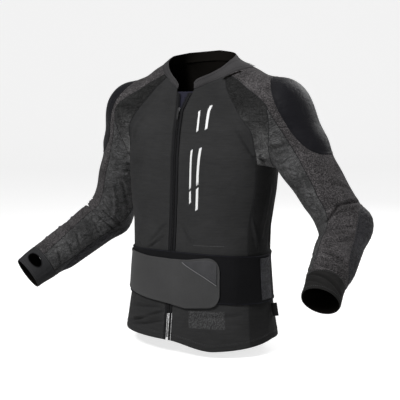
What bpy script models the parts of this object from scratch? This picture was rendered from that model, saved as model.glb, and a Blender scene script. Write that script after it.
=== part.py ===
"""Armoured motorcycle jersey, shown worn by nobody. Metres, +Z up, the front faces -Y, and the
origin is the middle of the neck base. The garment's outer surface is one smooth form, a torso
column joined to two bent arms, and each cloth panel is a patch of it between its own seams."""

import bmesh
import bpy
import numpy as np
from mathutils import Matrix

# Driving sizes
BODY_LENGTH = 0.612  # neck base to the hem at the side
HALF_CHEST = 0.194
CHEST_DEPTH = 0.128
HEM_DROP = 0.022  # how much lower the hem hangs in front
ARM_BLEND = 0.035
ELBOW_BLEND = 0.020
ELBOW_ROUND = 0.080
CLOTH = 0.0016
MESH_CLOTH = 0.0012
SEAM_GAP = 0.0009
LIFT = 0.0012  # clearance of a piece that lies on a panel
PAD_THICKNESS = 0.0060
COLLAR_THICKNESS = 0.0028
BAND_THICKNESS = 0.0018
FLAP_THICKNESS = 0.0020
ZIP_HALF = 0.0026
TAPE_WIDTH = 0.0062
V_BOTTOM = -0.086  # height where the closed zip starts
V_OPEN = {"left": 0.0180, "right": 0.0050}  # how far each edge stands off at the top of the open neck

# Torso column: shares of the body length, of half the chest and of the chest depth
TORSO = np.array([
    # down, half_width, front_depth, back_depth, squareness
    (1.144, 1.021, 1.172, 1.031, 2.2),
    (1.005, 0.990, 1.148, 1.016, 2.2),
    (0.850, 0.928, 1.062, 0.938, 2.2),
    (0.703, 0.897, 1.000, 0.875, 2.2),
    (0.572, 0.918, 0.938, 0.875, 2.2),
    (0.441, 0.969, 0.906, 0.938, 2.3),
    (0.310, 1.000, 0.875, 1.000, 2.3),
    (0.212, 0.928, 0.812, 0.938, 2.2),
    (0.131, 0.696, 0.719, 0.742, 2.0),
    (0.065, 0.495, 0.641, 0.594, 2.0),
    (0.000, 0.412, 0.594, 0.516, 2.0),
    (-0.100, 0.392, 0.578, 0.484, 2.0),
])

ARMS = {
    "left": dict(
        sign=1, neck=(0.066, 0.012, -0.006), neck_r=0.050,
        shoulder=(0.206, 0.000, -0.096), shoulder_r=0.070,
        elbow=(0.376, 0.000, -0.328), elbow_r=0.051,
        wrist=(0.405, -0.172, -0.468), wrist_r=0.042),
    "right": dict(
        sign=-1, neck=(-0.064, 0.012, -0.006), neck_r=0.050,
        shoulder=(-0.193, 0.000, -0.096), shoulder_r=0.069,
        elbow=(-0.342, 0.085, -0.352), elbow_r=0.055,
        wrist=(-0.456, -0.128, -0.507), wrist_r=0.043),
}

# Seams of an arm as angles round its path, 0 outside, 90 in front, at shares of the way to the wrist
ARM_SEAMS = np.array([
    # share, yoke_front, yoke_back, underarm
    (0.00, 73, -73, 176),
    (0.26, 74, -66, 180),
    (0.40, 80, -62, 182),
    (0.55, 97, -62, 188),
    (0.70, 113, -66, 192),
    (0.90, 126, -78, 194),
    (1.00, 130, -84, 194),
])
RING_START = 0.26
CUFF_START = 0.905

# Torso seams as shares: across of half the chest, deep of the chest depth, down of the body length
CHEST_EDGE = np.array([
    (0.44, -0.42, 0.020), (0.62, -0.43, 0.114), (0.83, -0.52, 0.162), (0.905, -0.52, 0.212),
    (0.92, -0.42, 0.281), (0.94, -0.36, 0.337),
])
CHEST_EDGE_LOW = np.array([
    (0.94, -0.36, 0.337), (0.917, -0.37, 0.430), (0.871, -0.41, 0.523), (0.840, -0.42, 0.616),
    (0.856, -0.43, 0.804), (0.902, -0.51, 1.000),
])
RAGLAN_FRONT = np.array([(0.49, -0.35, 0.014), (0.70, -0.42, 0.056), (0.94, -0.55, 0.100)])
RAGLAN_BACK = np.array([(0.40, 0.34, -0.030), (0.68, 0.44, 0.030), (0.93, 0.56, 0.085)])
ARMHOLE = np.array([(1.16, 0.59, 0.185), (1.13, 0.52, 0.250), (1.08, 0.30, 0.317)])
ARMPIT = {"left": (1.055, 0.08, 0.364), "right": (1.05, 0.10, 0.370)}
SIDE_SEAM = np.array([(1.00, 0.28, 0.450), (0.93, 0.32, 0.640), (0.955, 0.33, 1.000)])
NECK = np.array([
    # degrees from the front, collar seam and rim over the neck base as shares of the body length
    (-180, 0.058, 0.095), (-124, 0.052, 0.086), (-90, 0.040, 0.070), (-68, 0.013, 0.052),
    (-34, -0.023, 0.002), (-9, -0.057, -0.038), (5, -0.065, -0.040), (23, -0.056, -0.025),
    (46, -0.033, -0.004), (65, -0.010, 0.018), (78, 0.018, 0.036), (90, 0.034, 0.054),
    (124, 0.051, 0.083), (180, 0.058, 0.095),
])
NECK_FRONT = -0.065  # the collar seam in front as a share of the body length
RIM_HALF = (0.084, 0.079)  # half width and half depth of the collar's rim

# Belt, pads and creases
BELT_TOP, BELT_BOTTOM = 0.672, 0.850  # shares of the body length
FLAP_START, FLAP_ROUND, FLAP_END, GRIP_START = -74, 38, 48, 18  # degrees from the front
FLAP_DROP = 0.015
PADS = {
    # centre share, centre angle, half share, half angle, squareness, clearance in metres
    ("shoulder", "left"): (0.080, 0, 0.215, 60, 2.6, 0.0016),
    ("shoulder", "right"): (0.065, 0, 0.185, 60, 2.6, 0.0016),
    ("elbow", "left"): (0.700, -46, 0.185, 72, 2.6, 0.0029),
    ("elbow", "right"): (0.700, -98, 0.185, 68, 2.6, 0.0032),
}
GATHERS = {
    # first share, last share, count, depth, angle of the deepest side
    "left": (0.62, 0.90, 6, 0.0032, 112),
    "right": (0.57, 0.88, 6, 0.0026, 52),
}
ELBOW_CREASE = {"left": (0.555, 0.030, 0.0050, 120), "right": (0.545, 0.030, 0.0045, 110)}

ROWS_RAGLAN, ROWS_ARMHOLE, ROWS_SIDE, ROWS_CAP = 5, 5, 13, 4
ROWS_UPPER_ARM, ROWS_FOREARM = 5, 16
COLS_FRONT, COLS_INSERT, COLS_SIDE, COLS_BACK, COLS_YOKE = 5, 3, 4, 10, 6

COLORS = {
    # name part: red, green, blue, roughness
    "front_panel": (0.055, 0.055, 0.056, 0.85), "back_panel": (0.055, 0.055, 0.056, 0.85),
    "front_mesh": (0.070, 0.070, 0.072, 0.55), "side_panel": (0.020, 0.020, 0.022, 0.80),
    "yoke": (0.160, 0.150, 0.150, 0.95), "sleeve": (0.120, 0.120, 0.122, 0.50),
    "shoulder_pad": (0.022, 0.023, 0.026, 0.60), "elbow_pad": (0.055, 0.057, 0.062, 0.60),
    "cuff": (0.085, 0.085, 0.088, 0.80), "collar": (0.105, 0.100, 0.110, 0.85),
    "piping": (0.550, 0.550, 0.550, 0.50), "zip_tape": (0.035, 0.035, 0.037, 0.80),
    "zip_teeth": (0.030, 0.030, 0.032, 0.40), "zip_slider": (0.060, 0.060, 0.062, 0.35),
    "zip_pull": (0.050, 0.050, 0.052, 0.40), "inner_placket": (0.050, 0.050, 0.065, 0.85),
    "belt_band": (0.022, 0.023, 0.027, 0.70), "belt_flap": (0.075, 0.076, 0.078, 0.55),
    "belt_grip": (0.060, 0.061, 0.064, 0.50), "belt_anchor": (0.080, 0.080, 0.084, 0.60),
    "side_tab": (0.020, 0.020, 0.021, 0.60),
}


def smooth_min(a, b, width):
    near = np.clip(width - np.abs(a - b), 0, None) / width
    return np.minimum(a, b) - near * near * width / 4


def cone(p, start, end, start_r, end_r):
    start, along = np.array(start), np.array(end) - np.array(start)
    share = np.clip((p - start) @ along / (along @ along), 0, 1)
    out = np.linalg.norm(p - start - share[..., None] * along, axis=-1)
    return out - start_r - (end_r - start_r) * share


def column(p):
    """Distance outside the torso's superellipse at the height of each point."""
    down = -p[..., 2] / BODY_LENGTH
    table = TORSO[::-1]
    half, front, back, power = (np.interp(down, table[:, 0], table[:, k]) for k in (1, 2, 3, 4))
    depth = np.where(p[..., 1] < 0, front, back) * CHEST_DEPTH
    across = np.abs(p[..., 0]) / (half * HALF_CHEST)
    share = (across**power + (np.abs(p[..., 1]) / depth) ** power) ** (1 / power)
    out = np.hypot(p[..., 0], p[..., 1])
    return out - out / np.maximum(share, 1e-6)


def form(p):
    """Below zero inside the garment, above it outside, and near it about the distance."""
    value = column(p)
    for arm in ARMS.values():
        top = cone(p, arm["neck"], arm["shoulder"], arm["neck_r"], arm["shoulder_r"])
        value = smooth_min(value, top, ARM_BLEND)
        upper = cone(p, arm["shoulder"], arm["elbow"], arm["shoulder_r"], arm["elbow_r"])
        lower = cone(p, arm["elbow"], arm["wrist"], arm["elbow_r"], arm["wrist_r"])
        value = smooth_min(value, smooth_min(upper, lower, ELBOW_BLEND), ARM_BLEND)
    return value


def slope(p):
    step = 0.0005 * np.eye(3)
    return np.stack([form(p + s) - form(p - s) for s in step], axis=-1) / 0.001


def outward(p):
    way = slope(p)
    return way / np.linalg.norm(way, axis=-1, keepdims=True)


def onto_form(p, height=0.0):
    """Moves points along the form's slope until they lie the given height outside it."""
    p = np.array(p, float)
    for _ in range(14):
        way = slope(p)
        off = form(p) - height
        step = off / np.maximum((way * way).sum(-1), 0.2)
        p -= np.clip(step, -0.03, 0.03)[..., None] * way
    return p


def arm_path(arm, share):
    """Centres and tangents of the arm's middle line, straight but for a rounded elbow."""
    shoulder, elbow, wrist = (np.array(arm[k]) for k in ("shoulder", "elbow", "wrist"))
    upper, lower = elbow - shoulder, wrist - elbow
    upper_length, lower_length = np.linalg.norm(upper), np.linalg.norm(lower)
    upper, lower = upper / upper_length, lower / lower_length
    spans = np.array([upper_length - ELBOW_ROUND, 1.9 * ELBOW_ROUND, lower_length - ELBOW_ROUND])
    way = (np.asarray(share, float) * spans.sum())[..., None]
    turn = np.clip((way - spans[0]) / spans[1], 0, 1)
    straight = np.minimum(way, spans[0]) * upper
    round_part = ELBOW_ROUND * ((2 * turn - turn**2) * upper + turn**2 * lower)
    last = np.maximum(way - spans[0] - spans[1], 0) * lower
    tangent = (1 - turn) * upper + turn * lower
    tangent /= np.linalg.norm(tangent, axis=-1, keepdims=True)
    return shoulder + straight + round_part + last, tangent


def arm_rays(side, share, angle):
    """Start points and directions that leave the arm's middle line at the given angles."""
    arm = ARMS[side]
    centre, tangent = arm_path(arm, share)
    outside = np.array([arm["sign"], 0.0, 0.0])
    across = outside - (tangent @ outside)[..., None] * tangent
    across /= np.linalg.norm(across, axis=-1, keepdims=True)
    ahead = arm["sign"] * np.cross(tangent, across)
    turn = np.radians(angle)[..., None]
    return centre, np.cos(turn) * across + np.sin(turn) * ahead


def fold_height(side, share, angle):
    """Height of the sleeve's creases: gathers round the forearm and one fold inside the elbow."""
    first, last, count, depth, deepest = GATHERS[side]
    along = np.clip((share - first) / (last - first), 0, 1)
    facing = np.clip(np.cos(np.radians(angle - deepest)), 0, 1)
    lean = 0.10 * np.sin(np.radians(angle * 2))
    height = depth * np.sin(np.pi * along) ** 0.5 * np.sin(2 * np.pi * (count * along + lean)) * facing
    middle, width, dip, inside = ELBOW_CREASE[side]
    bend = np.clip(np.cos(np.radians(angle - inside)), 0, 1)
    return height - dip * np.exp(-(((share - middle) / width) ** 2)) * bend


def on_arm(side, share, angle, height=0.0, folded=True):
    """Points where rays from the arm's middle line leave the form, moved by the folds and the height."""
    share, angle = np.broadcast_arrays(np.asarray(share, float), np.asarray(angle, float))
    start, way = arm_rays(side, share, angle)
    low, high = np.zeros(share.shape), np.full(share.shape, 0.020)
    for _ in range(40):
        high = np.where(form(start + high[..., None] * way) < 0, high + 0.004, high)
    low = high - 0.004
    for _ in range(18):
        middle = (low + high) / 2
        inside = form(start + middle[..., None] * way) < 0
        low, high = np.where(inside, middle, low), np.where(inside, high, middle)
    p = start + low[..., None] * way
    folds = np.where(folded & (share > 0.45), fold_height(side, share, angle), 0.0)
    return p + (folds + height)[..., None] * outward(p)


def smooth_line(guides, count):
    """Points at equal steps along a rounded line through the guide points."""
    guides = np.array(guides, float)
    ends = np.vstack([2 * guides[0] - guides[1], guides, 2 * guides[-1] - guides[-2]])
    spans = []
    for a, b, c, d in zip(ends[:-3], ends[1:-2], ends[2:-1], ends[3:]):
        t = np.linspace(0, 1, 12, endpoint=False)[:, None]
        bow = (2 * a - 5 * b + 4 * c - d) * t**2 + (3 * b - a - 3 * c + d) * t**3
        spans.append(b + (c - a) * t / 2 + bow / 2)
    line = np.vstack([*spans, guides[-1:]])
    way = np.concatenate([[0], np.cumsum(np.linalg.norm(np.diff(line, axis=0), axis=1))])
    at = np.linspace(0, way[-1], count + 1)
    return np.stack([np.interp(at, way, line[:, k]) for k in range(3)], axis=-1)


def torso_points(table, sign):
    return np.asarray(table, float) * (sign * HALF_CHEST, CHEST_DEPTH, -BODY_LENGTH)


def hem_height(p):
    front = np.clip(-p[..., 1] / CHEST_DEPTH, 0, 1)
    right = np.clip(-p[..., 0] / HALF_CHEST, 0, 1)
    return -BODY_LENGTH - HEM_DROP * front * (1 - 0.9 * right)


def to_hem(line):
    """Ends a line at the hem: its last point drops to the hem's height, the others keep their shares."""
    line = onto_form(line)
    top, bottom = line[0, 2], line[-1, 2]
    line[:, 2] = top + (line[:, 2] - top) * (hem_height(line[-1]) - top) / (bottom - top)
    return onto_form_level(line)


def onto_form_level(p, height=0.0):
    """Like onto_form, but the points keep their height over the ground."""
    p = np.array(p, float)
    for _ in range(14):
        way = slope(p)[..., :2]
        off = form(p) - height
        p[..., :2] -= np.clip(off / np.maximum((way * way).sum(-1), 0.2), -0.03, 0.03)[..., None] * way
    return p


def neck_rise(angle, which):
    return np.interp((angle + 180) % 360 - 180, NECK[:, 0], NECK[:, which]) * BODY_LENGTH


def neck_line(first, last, count, height=0.0):
    """The collar seam from one angle to another, in degrees from the front, positive on the left."""
    angle = np.linspace(first, last, count + 1)
    around = np.radians(angle)
    rise = neck_rise(angle, 1)
    p = np.stack([0.088 * np.sin(around), -0.080 * np.cos(around), rise], axis=-1)
    return onto_form_level(p, height)


def coons(top, bottom, start, end):
    """A grid between four lines: top and bottom run across, start and end run down."""
    u = np.linspace(0, 1, len(top))[None, :, None]
    v = np.linspace(0, 1, len(start))[:, None, None]
    corners = (1 - v) * ((1 - u) * top[0] + u * top[-1]) + v * ((1 - u) * bottom[0] + u * bottom[-1])
    return (1 - v) * top + v * bottom + (1 - u) * start[:, None] + u * end[:, None] - corners


def seam_grid(top, bottom, start, end):
    grid = coons(top, bottom, start, end)
    grid[1:-1, 1:-1] = onto_form(grid[1:-1, 1:-1])
    return grid


def with_gap(grid, thickness):
    """Draws each edge of a grid in by half a seam gap, and by as much more as its wall leans over there."""
    grid = grid.copy()
    inner = grid.copy()
    for edge, beside in ((0, 1), (-1, -2)):
        for at, next_to in ((np.s_[edge], np.s_[beside]), (np.s_[:, edge], np.s_[:, beside])):
            way = inner[next_to] - inner[at]
            along = np.gradient(inner[at], axis=0)
            long = np.maximum((along * along).sum(-1, keepdims=True), 1e-12)
            way -= along * (way * along).sum(-1, keepdims=True) / long
            way /= np.maximum(np.linalg.norm(way, axis=-1, keepdims=True), 1e-9)
            lean = np.clip(-(way * outward(inner[at])).sum(-1), 0, 1)
            grid[at] += (SEAM_GAP / 2 + thickness * lean)[:, None] * way
    return grid


def material(name, key):
    red, green, blue, roughness = COLORS[key]
    made = bpy.data.materials.new(name)
    made.use_nodes = True
    shader = made.node_tree.nodes["Principled BSDF"]
    shader.inputs["Base Color"].default_value = (red, green, blue, 1)
    shader.inputs["Roughness"].default_value = roughness
    shader.inputs["Metallic"].default_value = 0.0
    made.diffuse_color = (red, green, blue, 1)
    return made


def add_object(name, key, points, faces):
    mesh = bpy.data.meshes.new(name)
    mesh.from_pydata(np.asarray(points).reshape(-1, 3).tolist(), [], faces)
    mesh.materials.append(material(name + "_material", key))
    mesh.shade_smooth()
    made = bpy.data.objects.new(name, mesh)
    jersey.objects.link(made)
    return made


def grid_faces(rows, cols, closed=False):
    """Quads of a grid of points; a closed grid joins its last column to its first."""
    across = cols if closed else cols - 1
    return [
        (r + c, r + cols + c, r + cols + (c + 1) % cols, r + (c + 1) % cols)
        for r in range(0, (rows - 1) * cols, cols)
        for c in range(across)
    ]


def add_sheet(name, key, grid, thickness, closed=False):
    """An open surface of quads that Solidify thickens on its inner side."""
    grid = np.asarray(grid)
    rows, cols = grid.shape[:2]
    side_a = grid[rows // 2, cols // 2] - grid[rows // 2 - 1, cols // 2]
    side_b = grid[rows // 2, cols // 2] - grid[rows // 2, cols // 2 - 1]
    turned = np.cross(side_a, side_b) @ outward(grid[rows // 2, cols // 2]) < 0
    faces = grid_faces(rows, cols, closed)
    if turned:
        faces = [face[::-1] for face in faces]
    made = add_object(name, key, grid, faces)
    wall = made.modifiers.new("Wall", "SOLIDIFY")
    wall.thickness = thickness
    wall.offset = -1
    return made


def torso_seams(side):
    """All seam lines of one side of the body, each ending exactly where its neighbours start."""
    sign = ARMS[side]["sign"]
    shoulder = abs(ARMS[side]["shoulder"][0]) / abs(ARMS["left"]["shoulder"][0])
    narrow = np.array([1 + 0.5 * (shoulder - 1), 1, 1])
    reach = np.array([shoulder, 1, 1])
    corners = on_arm(side, 0.0, ARM_SEAMS[0, 1:3])
    front_hole = np.vstack([corners[0], torso_points(ARMHOLE, sign) * reach * (1, -1, 1)])
    back_hole = np.vstack([corners[1], torso_points(ARMHOLE, sign) * reach])
    armpit = onto_form(torso_points(ARMPIT[side], sign))
    neck_front = neck_line(sign * 66, sign * 67, 1)[0]
    neck_back = neck_line(sign * 124, sign * 125, 1)[0]
    neck_chest = neck_line(sign * 60, sign * 61, 1)[0]
    raglan_front = np.vstack([neck_front, torso_points(RAGLAN_FRONT[1:], sign) * reach, front_hole[:1]])
    raglan_back = np.vstack([neck_back, torso_points(RAGLAN_BACK[1:], sign) * reach, back_hole[:1]])
    chest = np.vstack([neck_chest, torso_points(CHEST_EDGE[1:], sign) * narrow])
    chest_low = torso_points(CHEST_EDGE_LOW, sign)
    chest_low[0] = chest[-1]
    side_seam = np.vstack([armpit, torso_points(SIDE_SEAM, sign)])
    lines = {
        "raglan_front": onto_form(smooth_line(raglan_front, ROWS_RAGLAN)),
        "raglan_back": onto_form(smooth_line(raglan_back, ROWS_RAGLAN)),
        "hole_front": onto_form(smooth_line(np.vstack([front_hole, armpit]), ROWS_ARMHOLE)),
        "hole_back": onto_form(smooth_line(np.vstack([back_hole, armpit]), ROWS_ARMHOLE)),
        "chest": onto_form(smooth_line(chest, ROWS_RAGLAN + ROWS_ARMHOLE)),
        "chest_low": to_hem(smooth_line(chest_low, ROWS_SIDE)),
        "side_seam": to_hem(smooth_line(side_seam, ROWS_SIDE)),
    }
    lines["chest_low"][0] = lines["chest"][-1]
    lines["under"] = onto_form(np.linspace(lines["chest"][-1], armpit, COLS_SIDE + 1))
    for upper, lower in (("raglan_front", "hole_front"), ("raglan_back", "hole_back")):
        lines[lower][0] = lines[upper][-1]
        lines[lower][-1] = armpit
    lines["side_seam"][0] = armpit
    lines["under"][0], lines["under"][-1] = lines["chest"][-1], armpit
    return lines


def hem_line(start, end, cols):
    """The hem between two points, level round the body and lower in front."""
    line = np.linspace(start, end, cols + 1)
    for _ in range(3):
        line[..., 2] = hem_height(line)
        line = onto_form_level(line)
    line[0], line[-1] = start, end
    return line


def centre_line(side, edge, top, rows, height=0.0):
    """The edge beside the zip: apart at the open neck, together below it."""
    sign = ARMS[side]["sign"]
    level = np.linspace(top, -BODY_LENGTH - HEM_DROP, rows + 1)
    apart = V_OPEN[side] * np.clip((level - V_BOTTOM) / (NECK_FRONT * BODY_LENGTH - V_BOTTOM), 0, 1)
    p = np.stack([sign * (edge + apart), np.full(level.shape, -CHEST_DEPTH), level], axis=-1)
    p[-1, 2] = hem_height(p[-1])
    return onto_form_keep_x(p, height)


def onto_form_keep_x(p, height=0.0):
    """Like onto_form, but the points move only towards the front or the back."""
    p = np.array(p, float)
    for _ in range(14):
        way = slope(p)[..., 1]
        way = np.where(np.abs(way) < 0.3, 0.3 * np.sign(way), way)
        p[..., 1] -= np.clip((form(p) - height) / way, -0.03, 0.03)
    return p


def build_torso(side, lines):
    sign = ARMS[side]["sign"]
    upper = ROWS_RAGLAN + ROWS_ARMHOLE
    chest = np.vstack([lines["chest"], lines["chest_low"][1:]])
    middle = centre_line(side, ZIP_HALF + TAPE_WIDTH + 0.0012, NECK_FRONT * BODY_LENGTH, upper + ROWS_SIDE)
    angle = np.degrees(np.arctan2(abs(middle[0, 0]), -middle[0, 1]))
    top = neck_line(sign * angle, sign * 60, COLS_FRONT)
    top[0], top[-1] = middle[0], chest[0]
    bottom = hem_line(middle[-1], chest[-1], COLS_FRONT)
    front = seam_grid(top, bottom, middle, chest)
    add_sheet(f"front_panel_{side}", "front_panel", with_gap(front, CLOTH), CLOTH)

    edge = np.vstack([lines["raglan_front"], lines["hole_front"][1:]])
    top = neck_line(sign * 60, sign * 66, COLS_INSERT)
    top[0], top[-1] = lines["chest"][0], edge[0]
    bottom = smooth_line(lines["under"], COLS_INSERT)
    insert = seam_grid(top, bottom, lines["chest"], edge)
    add_sheet(f"front_mesh_{side}", "front_mesh", with_gap(insert, MESH_CLOTH), MESH_CLOTH)

    bottom = hem_line(lines["chest_low"][-1], lines["side_seam"][-1], COLS_SIDE)
    panel = seam_grid(lines["under"], bottom, lines["chest_low"], lines["side_seam"])
    add_sheet(f"side_panel_{side}", "side_panel", with_gap(panel, CLOTH), CLOTH)


def build_back(seams):
    edges = []
    for side in ("right", "left"):
        lines = seams[side]
        edges.append(np.vstack([lines["raglan_back"], lines["hole_back"][1:], lines["side_seam"][1:]]))
    top = neck_line(-124, -236, COLS_BACK)
    top[0], top[-1] = edges[0][0], edges[1][0]
    middle = np.array([0, CHEST_DEPTH, -BODY_LENGTH])
    half = COLS_BACK // 2
    bottom = np.vstack([hem_line(edges[0][-1], middle, half), hem_line(middle, edges[1][-1], half)[1:]])
    bottom = onto_form_level(bottom)
    bottom[0], bottom[-1] = edges[0][-1], edges[1][-1]
    back = seam_grid(top, bottom, *edges)
    add_sheet("back_panel", "back_panel", with_gap(back, CLOTH), CLOTH)


def arm_angles(share, which):
    return np.interp(share, ARM_SEAMS[:, 0], ARM_SEAMS[:, 1 + which])


def arm_shares():
    upper = np.linspace(RING_START, 0.5, ROWS_UPPER_ARM + 1)
    return np.concatenate([upper, np.linspace(0.5, CUFF_START, ROWS_FOREARM + 1)[1:]])


def arm_grid(side, first, last, cols, turn=0):
    """Rows of points along the arm between two of its seams."""
    share = arm_shares()[:, None]
    blend = np.linspace(0, 1, cols + 1)[None]
    angle = arm_angles(share, first) * (1 - blend) + (arm_angles(share, last) + turn) * blend
    return on_arm(side, share, angle)


def build_sleeve(side, lines):
    sign = ARMS[side]["sign"]
    yoke = arm_grid(side, 1, 0, COLS_YOKE)
    mesh_front = arm_grid(side, 0, 2, ROWS_ARMHOLE)
    mesh_back = arm_grid(side, 1, 2, ROWS_ARMHOLE, turn=-360)
    share = np.linspace(0, RING_START, ROWS_CAP + 1)[1:-1]

    def down_to(start, middle, end):
        line = smooth_line(np.vstack([start, middle, end]), ROWS_CAP)
        line[1:-1] = onto_form(line[1:-1])
        line[0], line[-1] = start, end
        return line

    front_edge = down_to(lines["hole_front"][0], on_arm(side, share, arm_angles(share, 0)), yoke[0, -1])
    back_edge = down_to(lines["hole_back"][0], on_arm(side, share, arm_angles(share, 1)), yoke[0, 0])
    armpit = lines["hole_front"][-1]
    under_edge = down_to(armpit, (armpit + mesh_front[0, -1]) / 2, mesh_front[0, -1])

    neck = neck_line(sign * 124, sign * 66, COLS_YOKE)
    start = np.vstack([lines["raglan_back"], back_edge[1:]])
    end = np.vstack([lines["raglan_front"], front_edge[1:]])
    neck[0], neck[-1] = start[0], end[0]
    cap = seam_grid(neck, yoke[0], start, end)
    add_sheet(f"yoke_{side}", "yoke", with_gap(np.vstack([cap, yoke[1:]]), CLOTH), CLOTH)
    for place, grid, hole, edge in (
        ("front", mesh_front, lines["hole_front"], front_edge),
        ("back", mesh_back, lines["hole_back"], back_edge),
    ):
        cap = seam_grid(hole, grid[0], edge, under_edge)
        sleeve = with_gap(np.vstack([cap, grid[1:]]), MESH_CLOTH)
        add_sheet(f"sleeve_{place}_{side}", "sleeve", sleeve, MESH_CLOTH)


def build_cuff(side):
    share = np.linspace(CUFF_START + 0.0004, 1.0, 3)[:, None]
    angle = np.linspace(0, 360, 22, endpoint=False)[None]
    cuff = add_sheet(f"cuff_{side}", "cuff", on_arm(side, share, angle), CLOTH, closed=True)
    if side == "right":
        centre, way = arm_rays(side, np.array(0.950), np.array(122.0))
        bpy.ops.mesh.primitive_cylinder_add(vertices=20, radius=1, depth=1)
        cutter = bpy.context.object
        cutter.name = "thumb_hole_cutter"
        along = arm_path(ARMS[side], np.array(0.950))[1]
        across = np.cross(way, along)
        place = np.eye(4)
        place[:3, 0], place[:3, 1] = 0.0230 * across, 0.0135 * along
        place[:3, 2], place[:3, 3] = 0.060 * way, centre + 0.045 * way
        shape_block(cutter, place)
        move_to(cutters, cutter)
        cutter.hide_render = True
        cutter.display_type = "WIRE"
        cut = cuff.modifiers.new("Thumb hole", "BOOLEAN")
        cut.object, cut.operation, cut.solver = cutter, "DIFFERENCE", "EXACT"


def move_to(collection, thing):
    for holder in list(thing.users_collection):
        holder.objects.unlink(thing)
    collection.objects.link(thing)


def shape_block(block, place):
    """Writes a unit block's size, turn and place into its mesh."""
    block.data.transform(Matrix(place.tolist()))
    if np.linalg.det(place[:3, :3]) < 0:
        block.data.flip_normals()


def build_collar():
    first, last, cols = 19, 351, 26
    low = neck_line(first, last, cols)
    angle = np.linspace(first, last, cols + 1)
    around = np.radians(angle)
    from_end = np.clip(np.minimum(angle - first, last - angle) / 9, 0, 1)
    level = RIM_HALF * np.stack([np.sin(around), -np.cos(around)], axis=-1)
    rim = np.column_stack([level, neck_rise(angle, 2)])
    rim = low + (rim - low) * (1 - 0.30 * (1 - from_end) ** 2)[:, None]
    rows = [low * (1 - share) + rim * share + np.array([0, 0, 0.0025]) for share in np.linspace(0, 1, 3)]
    add_sheet("collar", "collar", np.array(rows), COLLAR_THICKNESS)


def add_cord(name, key, line, radius):
    curve = bpy.data.curves.new(name, "CURVE")
    curve.dimensions = "3D"
    curve.bevel_depth = radius
    curve.bevel_resolution = 1
    curve.use_fill_caps = True
    spline = curve.splines.new("POLY")
    spline.points.add(len(line) - 1)
    for point, place in zip(spline.points, line):
        point.co = (*place, 1)
    made = bpy.data.objects.new(name, curve)
    made.data.materials.append(material(name + "_material", key))
    jersey.objects.link(made)


def build_piping(side):
    sign = ARMS[side]["sign"]
    line = neck_line(sign * 68, sign * 122, 10)
    way = outward(line)
    level = way * (1, 1, 0)
    level /= np.linalg.norm(level, axis=-1, keepdims=True)
    add_cord(f"piping_{side}", "piping", line + way * 0.0018 + level * 0.0015, 0.0011)


def build_zip():
    top = NECK_FRONT * BODY_LENGTH
    for side in ("left", "right"):
        inner = centre_line(side, ZIP_HALF + 0.0006, top - 0.004, 14)
        outer = centre_line(side, ZIP_HALF + TAPE_WIDTH + 0.0006, top - 0.004, 14)
        add_sheet(f"zip_tape_{side}", "zip_tape", np.stack([inner, outer], axis=1), CLOTH)
    level = np.linspace(V_BOTTOM - 0.004, -BODY_LENGTH - HEM_DROP + 0.003, 15)
    rows = []
    for across in np.linspace(-ZIP_HALF, ZIP_HALF, 3):
        line = np.stack([np.full(level.shape, across), np.full(level.shape, -CHEST_DEPTH), level], axis=-1)
        rows.append(onto_form_keep_x(line, 0.0006 * (across == 0)))
    add_sheet("zip_teeth", "zip_teeth", np.stack(rows, axis=1), 0.0020)

    level = np.linspace(top - 0.002, V_BOTTOM - 0.030, 8)
    rows = []
    for across in np.linspace(-0.016, 0.028, 4):
        line = np.stack([np.full(level.shape, across), np.full(level.shape, -CHEST_DEPTH), level], axis=-1)
        rows.append(onto_form_keep_x(line, -0.0032))
    add_sheet("inner_placket", "inner_placket", np.stack(rows, axis=1), 0.0012)

    centre = onto_form_keep_x(np.array([[0, -CHEST_DEPTH, V_BOTTOM + 0.002]]))[0]
    way = outward(centre)
    add_block("zip_slider", centre + way * 0.0022, way, (0.0075, 0.0110, 0.0032), 0.0009)
    down = np.cross(np.cross(way, (0, 0, -1)), way)
    down /= np.linalg.norm(down)
    add_block("zip_pull", centre + way * 0.0053 + down * 0.012, way, (0.0058, 0.0240, 0.0022), 0.0008)


def add_block(name, centre, way, size, rounding):
    """A rounded block: size is across, up and out along the given way."""
    across = np.array([1.0, 0, 0])
    up = np.cross(way, across)
    up = up if up[2] > 0 else -up
    bpy.ops.mesh.primitive_cube_add(size=1)
    block = bpy.context.object
    block.name = name
    place = np.eye(4)
    place[:3, 0], place[:3, 1], place[:3, 2] = size[0] * across, size[1] * up, size[2] * way
    place[:3, 3] = centre
    shape_block(block, place)
    move_to(jersey, block)
    block.data.materials.append(material(name + "_material", name))
    bevel = block.modifiers.new("Rounding", "BEVEL")
    bevel.width, bevel.segments = rounding, 2


def around_body(angles, downs, height):
    """A grid on the torso: columns at angles from the front, rows at shares of the body length."""
    angle, down = np.meshgrid(np.radians(angles), downs)
    p = np.stack([HALF_CHEST * np.sin(angle), -CHEST_DEPTH * np.cos(angle), -down * BODY_LENGTH], axis=-1)
    return onto_form_level(p, height)


def flap_half(angles):
    """Half the flap's height as a share of the body length, less near its rounded end."""
    past = np.clip((angles - FLAP_ROUND) / (FLAP_END - FLAP_ROUND), 0, 1)
    return (BELT_BOTTOM - BELT_TOP) / 2 * (1 - 0.55 * (1 - np.sqrt(1 - past**2.6)))


def flap_grid(angles, upper, lower, rows, height):
    """Rows between two edges of the flap, given as shares of the body length from its middle."""
    share = np.linspace(0, 1, rows)[:, None]
    down = (BELT_TOP + BELT_BOTTOM) / 2 + FLAP_DROP + upper * (1 - share) + lower * share
    angle = np.radians(angles) + 0 * share
    p = np.stack([HALF_CHEST * np.sin(angle), -CHEST_DEPTH * np.cos(angle), -down * BODY_LENGTH], axis=-1)
    return onto_form_level(p, height)


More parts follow.
